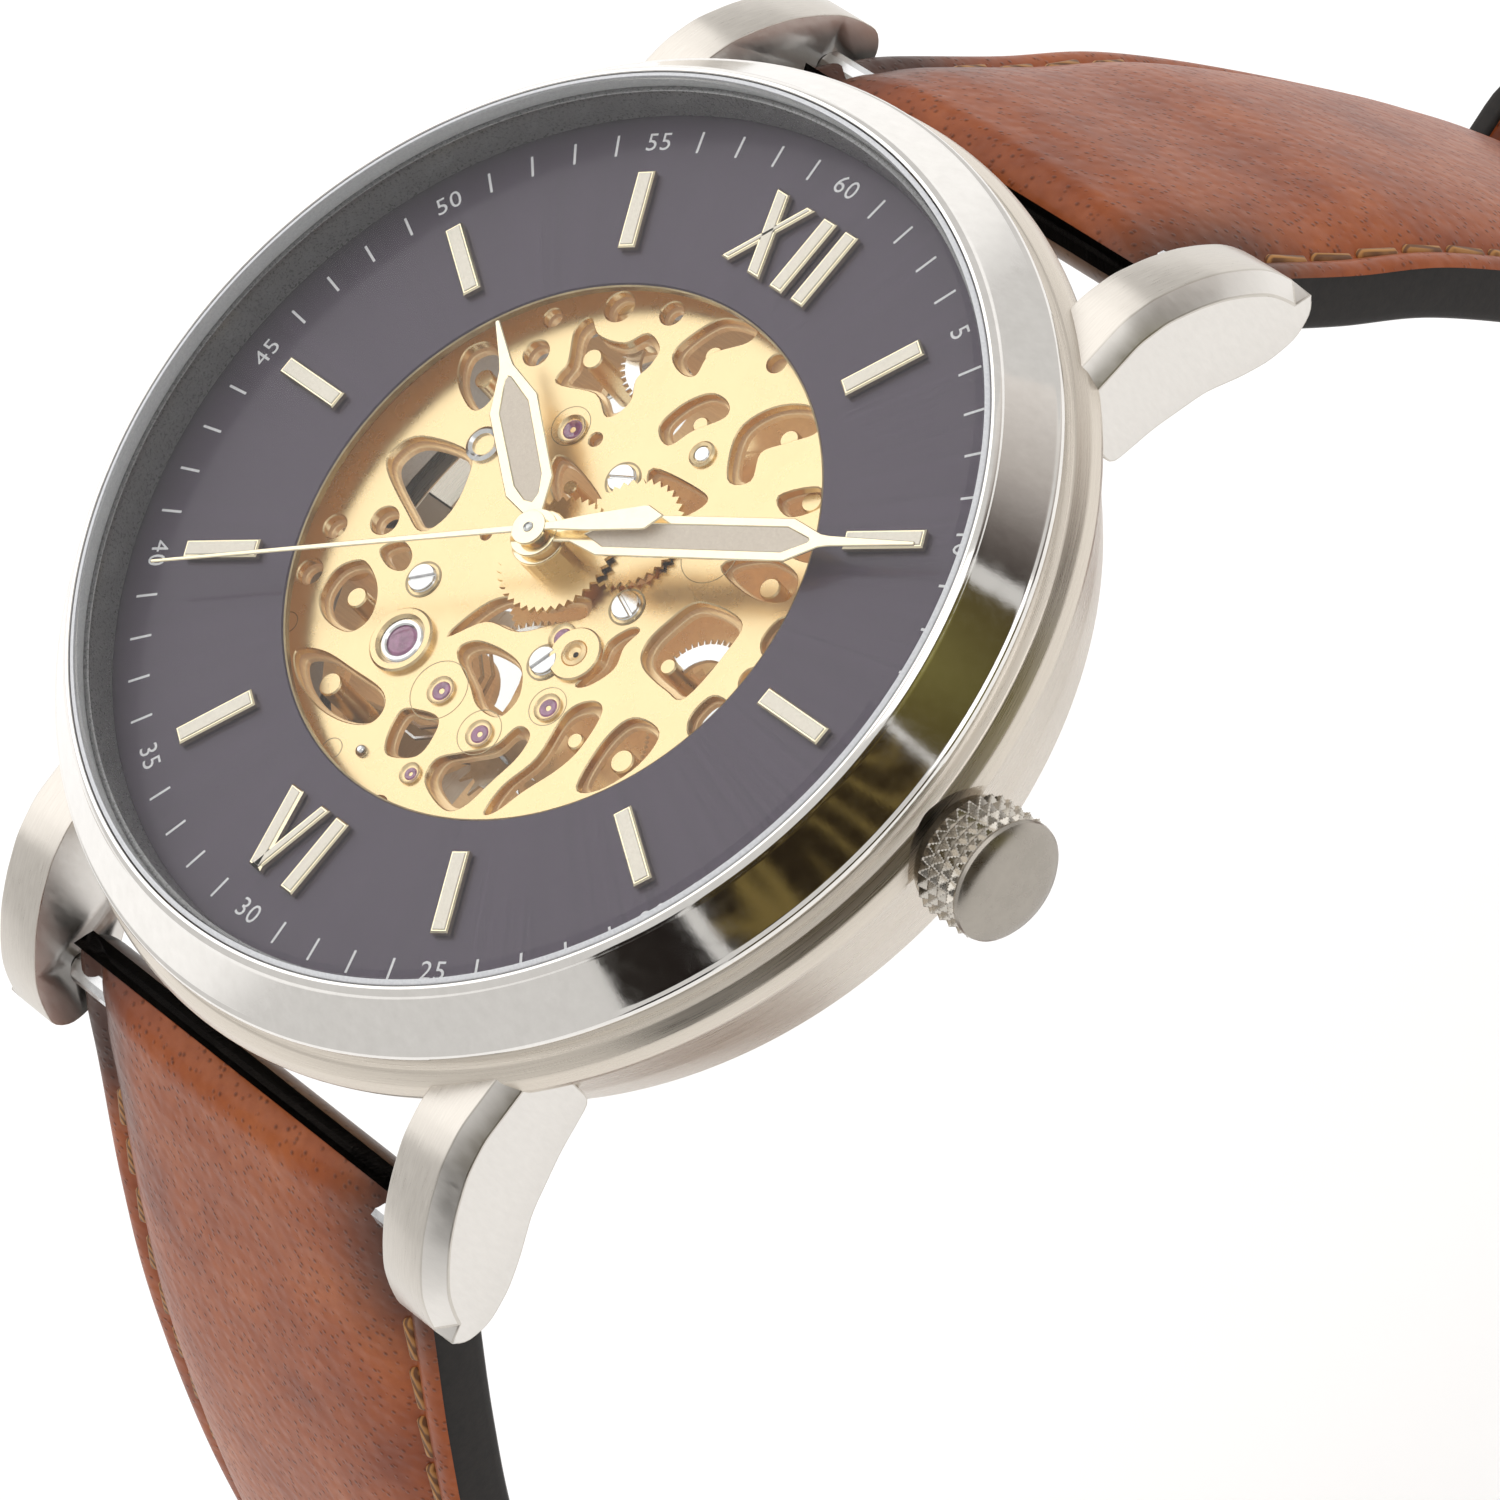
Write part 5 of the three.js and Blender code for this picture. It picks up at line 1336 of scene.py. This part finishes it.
def strap_mesh(name, curve, outward, tip, end_round, steps_per_mm=2.4):
    """The padded strap as one closed surface; outward is 1 or -1, the side away from the wrist."""
    length = curve.length
    nose = 1.65
    stations = [(-nose * math.sin(math.radians(a)), math.cos(math.radians(a)))
                for a in reversed(END_ANGLES)]
    count = int(length * steps_per_mm)
    last = length - (0.02 if tip else 0)
    stations += [(last * i / count, 1.0) for i in range(count + 1)]
    if end_round:
        stations += [(length + end_round * math.sin(math.radians(a)), math.cos(math.radians(a)))
                     for a in END_ANGLES]
    vertices, lug_shade, rows = [], [], []
    kinds = None
    for distance, share in stations:
        place, along = curve.at(distance)
        normal = Vector((-along.y, along.x)) * outward
        body = half_thickness(max(0, distance), length)
        start = smoothstep(distance, 0.0, 3.0)
        half = (nose + (body - nose) * start)
        if end_round:
            close = smoothstep(length - distance, 0.0, 4.0)
            half = end_round + (half - end_round) * close
        if tip:
            half *= 0.75 + 0.25 * smoothstep(length - distance, 0.0, 4.0)
        half *= max(share, 0.07)
        padding = 1 - 0.75 * smoothstep(distance / length, 0.3, 0.8)
        width = half_width(place.y, distance, length, tip)
        width -= 0.25 * (1 - smoothstep(distance, 0.0, 2.0))
        points = section(width, half, padding)
        kinds = [kind for _, _, kind in points]
        rows.append(range(len(vertices), len(vertices) + len(points)))
        for x, height, kind in points:
            vertices.append((x, place.x + normal.x * height, place.y + normal.y * height))
            # Painted shade under the lugs: full within 3 mm of the spring bar, gone by 9 mm, strongest
            # towards the edges.
            side = smoothstep(abs(x) / width, 0.5, 0.93)
            near = 1 - smoothstep(distance, 3.0, 9.0)
            mark = max(0.9 * near * (0.06 + 0.94 * side), 0.0)
            lug_shade.append(min(1.0, mark))
    faces, slots = [], []
    order = {"leather": 0, "edge": 1, "lining": 2}
    around = len(kinds)
    for one, two in zip(rows, rows[1:]):
        for i in range(around):
            j = (i + 1) % around
            faces.append((one[i], one[j], two[j], two[i]))
            pair = (kinds[i], kinds[j])
            slots.append(order["edge"] if "edge" in pair else order[kinds[i]])
    faces.append(tuple(rows[0]))
    faces.append(tuple(reversed(rows[-1])))
    slots += [1, 1]
    mesh = bpy.data.meshes.new(name)
    mesh.from_pydata([(x * MM, y * MM, z * MM) for x, y, z in vertices], [], faces)
    for material in ("leather", "edge", "lining"):
        mesh.materials.append(MAT[material])
    mesh.polygons.foreach_set("material_index", slots)
    layer = mesh.attributes.new("lug_shade", "FLOAT", "POINT")
    layer.data.foreach_set("value", lug_shade)
    shape = bmesh.new()
    shape.from_mesh(mesh)
    bmesh.ops.recalc_face_normals(shape, faces=shape.faces)
    shape.to_mesh(mesh)
    shape.free()
    smooth(mesh, math.radians(50))
    piece = bpy.data.objects.new(name, mesh)
    bpy.context.scene.collection.objects.link(piece)
    return piece


def capsule(length, radius, steps=5, around=8):
    """Vertices and faces of a round-ended rod along Y, in millimetres."""
    vertices, faces = [], []
    stations = [(-length / 2 + radius - radius * math.cos(math.radians(90 * k / steps)),
                 math.sin(math.radians(90 * k / steps)))
                for k in range(1, steps + 1)]
    stations += [(-y, share) for y, share in reversed(stations)]
    for y, share in stations:
        for i in range(around):
            angle = 2 * math.pi * i / around
            vertices.append((radius * share * math.cos(angle), y, radius * share * math.sin(angle)))
    for k in range(len(stations) - 1):
        for i in range(around):
            j = (i + 1) % around
            faces.append((k * around + i, k * around + j, (k + 1) * around + j, (k + 1) * around + i))
    faces.append(tuple(range(around)))
    faces.append(tuple(range((len(stations) - 1) * around, len(stations) * around)))
    return vertices, faces


def stitching(name, curve, outward, first, last, tip, body):
    """Rows of saddle stitches in the groove along both edges."""
    pitch, long, radius, inward = 2.6, 2.15, 0.27, 1.42
    shapes, faces = capsule(long, radius)
    vertices, polygons = [], []
    luck = random.Random(SEED)
    distance = first
    while distance < last:
        for side in (1, -1):
            place, along = curve.at(distance)
            normal = Vector((-along.y, along.x)) * outward
            half = half_thickness(distance, curve.length)
            padding = 1 - 0.75 * smoothstep(distance / curve.length, 0.3, 0.8)
            width = half_width(place.y, distance, curve.length, tip)
            height = top_height(inward, half, padding) + 0.1
            middle = Vector((side * (width - inward * width / STRAP_HALF), place.x + normal.x * height,
                             place.y + normal.y * height))
            ahead = Vector((0, along.x, along.y))
            up = Vector((0, normal.x, normal.y))
            lean = ahead * math.cos(0.12) + Vector((side, 0, 0)) * math.sin(0.12 + luck.uniform(-0.03, 0.03))
            across = lean.cross(up).normalized()
            start = len(vertices)
            for x, y, z in shapes:
                sink = -0.16 * (2 * y / long) ** 4
                vertices.append(tuple(middle + across * x + lean * y + up * (z + sink)))
            polygons += [tuple(start + index for index in face) for face in faces]
        distance += pitch
    piece = new_piece(name, vertices, polygons, MAT["thread"], angle=math.radians(60))
    return finish_piece(piece, body, "leather")


def prism(name, loop, low, high):
    """A closed straight-sided solid over a loop in the XY plane."""
    count = len(loop)
    vertices = [(x, y, low) for x, y in loop] + [(x, y, high) for x, y in loop]
    faces = [(i, (i + 1) % count, count + (i + 1) % count, count + i) for i in range(count)]
    faces += [tuple(reversed(range(count))), tuple(range(count, 2 * count))]
    return new_piece(name, vertices, faces, MAT["edge"])


def laid_along(piece, place, along):
    """Turns a piece made along +Y to run along a strap's middle line at a place in the (y, z) plane."""
    piece.data.transform(Matrix.Rotation(math.atan2(along.y, along.x), 4, "X"))
    piece.data.transform(Matrix.Translation((0, place.x * MM, place.y * MM)))
    return piece


def strap_12():
    piece = strap_mesh("strap_12_leather", CURVE_12, 1, None, 1.5)
    slot = prism("slot", softened([(-1.4, -4.2), (1.4, -4.2), (1.4, 4.2), (-1.4, 4.2)], 1.2), -4, 4)
    cut_by(piece, [laid_along(slot, *CURVE_12.at(CURVE_12.length))])
    smooth(piece.data, math.radians(50))
    finish_piece(piece, "strap_12", "leather", "strap_12")
    stitching("strap_12_stitches", CURVE_12, 1, 6.2, CURVE_12.length - 5.0, None, "strap_12")


def strap_6():
    length = CURVE_6.length
    tip = 11.0
    piece = strap_mesh("strap_6_leather", CURVE_6, -1, tip, None)
    cutters = []
    for i in range(7):
        place, along = CURVE_6.at(length - 14 - 6.5 * i)
        hole = turned("hole", [(0, -3), (0.95, -3), (0.95, 3), (0, 3)], MAT["edge"], 28)
        cutters.append(laid_along(hole, place, along))
    cut_by(piece, cutters)
    smooth(piece.data, math.radians(50))
    finish_piece(piece, "strap_6", "leather", "strap_6")
    stitching("strap_6_stitches", CURVE_6, -1, 6.2, length - tip - 1.0, tip, "strap_6")


def keeper(name, body, node, distance, width, inside, drop):
    """A leather loop: a rounded rectangle of strip, with painted edges."""
    place, along = CURVE_12.at(distance)
    wall, half = 1.2, 10.75
    top = inside - drop
    path = softened([(-half - wall / 2, -drop - wall / 2), (half + wall / 2, -drop - wall / 2),
                     (half + wall / 2, top + wall / 2), (-half - wall / 2, top + wall / 2)], 2.2, 8)
    strip = softened([(-wall / 2, -width / 2), (wall / 2, -width / 2), (wall / 2, width / 2),
                      (-wall / 2, width / 2)], 0.35, 3)
    count, around = len(path), len(strip)
    vertices, faces, slots = [], [], []
    for i, spot in enumerate(path):
        ahead = (Vector(path[(i + 1) % count]) - Vector(path[i - 1])).normalized()
        outward = Vector((ahead.y, -ahead.x))
        for out, across in strip:
            bulge = 0.12 * (1 - (2 * across / width) ** 2) if out > 0 else 0
            spot_out = Vector(spot) + outward * (out + bulge)
            vertices.append((spot_out.x, across, spot_out.y))
    for i in range(count):
        j = (i + 1) % count
        for k in range(around):
            m = (k + 1) % around
            faces.append((i * around + k, i * around + m, j * around + m, j * around + k))
            slots.append(1 if abs(strip[k][1] + strip[m][1]) / 2 > width / 2 - 0.25 else 0)
    piece = new_piece(name, vertices, faces, [MAT["leather"], MAT["edge"]], slots, angle=math.radians(50))
    laid_along(piece, place, along)
    return finish_piece(piece, body, "leather", node)


def keepers():
    length = CURVE_12.length
    keeper("keeper_loop_free", "keeper_free", "keeper_free", 0.56 * length, 6.0, 5.8, 2.3)
    keeper("keeper_loop_fixed", "strap_12", "keeper_fixed", 0.86 * length, 5.0, 5.4, 1.6)


# ---------------------------------------------------------------- buckle

def on_buckle_bar(piece):
    """Turns a piece drawn about the X axis and towards -Y to follow the strap's end from the buckle bar."""
    piece.data.transform(Matrix.Rotation(math.radians(BUCKLE_LEAN), 4, "X"))
    piece.data.transform(Matrix.Translation((0, BUCKLE_Y * MM, BUCKLE_Z * MM)))
    return piece


def buckle():
    """A bent frame of rounded bar, open at the strap's end."""
    back, front, side = 1.3, -14.4, 11.35
    corner = 3.2
    path = [(side, back - 0.4 * k) for k in range(30)]
    path += [(side - corner + corner * math.cos(math.radians(a)),
              front + corner - corner * math.sin(math.radians(a)))
             for a in range(0, 91, 9)]
    path = path + [(-x, y) for x, y in reversed(path)]
    ring = softened([(-0.95, -1.1), (0.95, -1.1), (0.95, 1.1), (-0.95, 1.1)], 0.75, 4)
    vertices, faces = [], []
    around = len(ring)
    for i, place in enumerate(path):
        before, after = Vector(path[max(0, i - 1)]), Vector(path[min(len(path) - 1, i + 1)])
        ahead = (after - before).normalized()
        across = Vector((ahead.y, -ahead.x))
        for out, up in ring:
            spot = Vector(place) + across * out
            vertices.append((spot.x, spot.y, up))
    for i in range(len(path) - 1):
        for k in range(around):
            m = (k + 1) % around
            faces.append((i * around + k, i * around + m, (i + 1) * around + m, (i + 1) * around + k))
    faces.append(tuple(range(around)))
    faces.append(tuple(reversed(range((len(path) - 1) * around, len(path) * around))))
    frame_piece = new_piece("buckle_bow", vertices, faces, MAT["polish"], angle=math.radians(40))
    finish_piece(on_buckle_bar(frame_piece), "buckle_frame", "polished_steel", "buckle_frame")
    tongue()


def tongue():
    eye = softened([(0.92, -0.85), (1.55, -0.85), (1.55, 0.85), (0.92, 0.85)], 0.15, 2)
    ring = turned("tongue_eye", eye + [eye[0]], MAT["polish"], 48)
    ring.data.transform(Matrix.Rotation(math.radians(90), 4, "Y"))
    side = [(-0.2, -1.0), (-2.5, -1.25), (-7.0, -1.45), (-12.6, -1.5), (-15.6, -1.55), (-15.6, -1.95),
            (-12.6, -2.25),
            (-7.0, -2.1), (-2.5, -1.9), (-0.6, -1.5)]
    spike = slab("tongue_spike", [softened(side, 0.3, 3)], -0.8, 0.8, MAT["polish"], 0.22)
    turn = Matrix(((0, 0, 1, 0), (1, 0, 0, 0), (0, 1, 0, 0), (0, 0, 0, 1)))
    spike.data.transform(turn)
    finish_piece(on_buckle_bar(joined("tongue_bar", [ring, spike])), "buckle_tongue", "polished_steel",
                 "buckle_tongue")


# ---------------------------------------------------------------- stage, light and camera

def curved_card(name, stops, streaks=0.0):
    """A glowing card bent round the watch, seen only in reflections.

    Each stop is an azimuth in degrees with the card's colour at its foot and at its top.
    """
    radius, low, high, fine = 460, -30, 330, 12
    vertices, tones, faces = [], [], []
    for (start, foot, top), (end, next_foot, next_top) in zip(stops, stops[1:]):
        for i in range(fine + 1):
            share = i / fine
            angle = math.radians(start + (end - start) * share)
            for z, one, two in ((low, foot, next_foot), (high, top, next_top)):
                vertices.append((radius * math.cos(angle), radius * math.sin(angle), z))
                tones.append([a + (b - a) * share for a, b in zip(one, two)])
    for k in range(len(stops) - 1):
        first = k * (fine + 1) * 2
        faces += [(first + 2 * i, first + 2 * i + 2, first + 2 * i + 3, first + 2 * i + 1)
                  for i in range(fine)]
    mesh = bpy.data.meshes.new(name)
    mesh.from_pydata([(x * MM, y * MM, z * MM) for x, y, z in vertices], [], faces)
    layer = mesh.attributes.new("tone", "FLOAT_COLOR", "POINT")
    layer.data.foreach_set("color", [value for tone in tones for value in (*tone, 1.0)])
    mesh.materials.append(card_material(name, streaks))
    piece = bpy.data.objects.new(name, mesh)
    bpy.context.scene.collection.objects.link(piece)
    piece.visible_camera = False
    piece.visible_shadow = False
    piece.visible_diffuse = False
    return piece


def card_material(name, streaks):
    """Glow in the card's own tones, with wavy bright streaks across it."""
    material = bpy.data.materials.new(name)
    material.use_nodes = True
    nodes, links = material.node_tree.nodes, material.node_tree.links
    nodes.clear()
    tone = nodes.new("ShaderNodeAttribute")
    tone.attribute_name = "tone"
    wave = nodes.new("ShaderNodeTexWave")
    wave.bands_direction = "Y"
    wave.inputs["Scale"].default_value = 0.004
    wave.inputs["Distortion"].default_value = 34.0
    wave.inputs["Detail Scale"].default_value = 0.9
    links.new(coordinates(nodes, links), wave.inputs["Vector"])
    bright = remap(nodes, links, wave.outputs["Fac"], 0.0, streaks, 0.72, 1.0)
    colour = mixed(nodes, links, bright, tone.outputs["Color"], (0.30, 0.22, 0.07))
    glow = nodes.new("ShaderNodeEmission")
    links.new(colour, glow.inputs["Color"])
    output = nodes.new("ShaderNodeOutputMaterial")
    links.new(glow.outputs["Emission"], output.inputs["Surface"])
    return material


def soft_light(name, place, size, radiance):
    """A square light that faces the watch; its power follows from its size and its radiance."""
    light = bpy.data.lights.new(name, "AREA")
    light.shape = "SQUARE"
    light.size = size * MM
    light.energy = radiance * math.pi * (size * MM) ** 2
    piece = bpy.data.objects.new(name, light)
    bpy.context.scene.collection.objects.link(piece)
    piece.location = Vector(place) * MM
    piece.rotation_euler = (-Vector(place)).to_track_quat("-Z", "Y").to_euler()
    return piece


def studio():
    level = min(CAD_BOX[0][2], 0) / MM - FLOOR_GAP
    vertices = [(x * FLOOR_REACH, y * FLOOR_REACH, level) for x, y in ((-1, -1), (1, -1), (1, 1), (-1, 1))]
    floor = new_piece("floor", vertices, [(0, 1, 2, 3)], floor_material())
    world = bpy.data.worlds.new("studio")
    bpy.context.scene.world = world
    world.use_nodes = True
    world.node_tree.nodes["Background"].inputs["Color"].default_value = WORLD_TINT
    world.node_tree.nodes["Background"].inputs["Strength"].default_value = WORLD_STRENGTH
    soft_light("key", (-690, 100, 850), 1700, 0.95)
    soft_light("fill", (420, 320, 620), 380, 0.9)
    black = (0.012, 0.009, 0.008)
    olive = (0.30, 0.27, 0.09)
    curved_card("grey_card", [
        (46, (0.04, 0.032, 0.027), (0.05, 0.04, 0.034)), (53, (0.15, 0.13, 0.12), (0.18, 0.16, 0.15)),
        (64, (0.5, 0.46, 0.43), (0.55, 0.52, 0.5)), (80, (0.8, 0.76, 0.73), (0.85, 0.83, 0.8)),
    ])
    curved_card("olive_card", [
        (14, (0.17, 0.14, 0.04), (0.05, 0.035, 0.012)), (26, olive, (0.04, 0.03, 0.01)),
        (42.5, (0.12, 0.095, 0.035), (0.045, 0.03, 0.012)),
    ])
    curved_card("streaked_card", [(-34, black, (0.02, 0.014, 0.008)),
                                  (12.5, (0.03, 0.02, 0.009), (0.035, 0.024, 0.01))], 0.6)
    curved_card("black_card", [(-54, (0.03, 0.025, 0.022), (0.02, 0.017, 0.014)), (-37, black, black)])
    bpy.context.scene.view_settings.view_transform = "Standard"
    bpy.context.scene.view_settings.look = "None"


def floor_material():
    material, nodes, links, shader = node_material("pale_floor")
    tone = noise(nodes, links, coordinates(nodes, links), 0.004, 2.0, 0.5)
    colour = ramp(nodes, links, tone, [(0.3, (0.93, 0.93, 0.93)), (0.7, (0.95, 0.95, 0.95))])
    links.new(colour, shader.inputs["Base Color"])
    links.new(colour, shader.inputs["Emission Color"])
    shader.inputs["Emission Strength"].default_value = 0.12
    shader.inputs["Roughness"].default_value = 0.9
    return material


def camera():
    """The view: above the crown side, rolled so that 12 points up and to the right."""
    place = Vector(CAMERA_PLACE)
    target = Vector(CAMERA_TARGET)
    up = Vector(CAMERA_UP)
    forward = (target - place).normalized()
    right = forward.cross(up).normalized()
    above = right.cross(forward)
    data = bpy.data.cameras.new("camera")
    data.lens = CAMERA_LENS
    data.sensor_width = SENSOR_WIDTH
    data.clip_start = 0.01
    piece = bpy.data.objects.new("camera", data)
    bpy.context.scene.collection.objects.link(piece)
    turn = Matrix((right, above, -forward)).transposed().to_4x4()
    piece.matrix_world = Matrix.Translation(place * MM) @ turn
    bpy.context.scene.camera = piece


# ---------------------------------------------------------------- the whole watch

def build():
    case_body()
    bezel()
    crystal()
    case_back()
    crown()
    dial()
    dial_print()
    markers()
    hands()
    main_plate()
    hidden_wheels()
    posts()
    plate_jewels()
    plate_details()
    train_bridge()
    auto_bridge()
    rotor()
    barrel_and_wheels()
    dress_cad_nodes()
    strap_12()
    strap_6()
    keepers()
    buckle()
    studio()
    camera()


build()
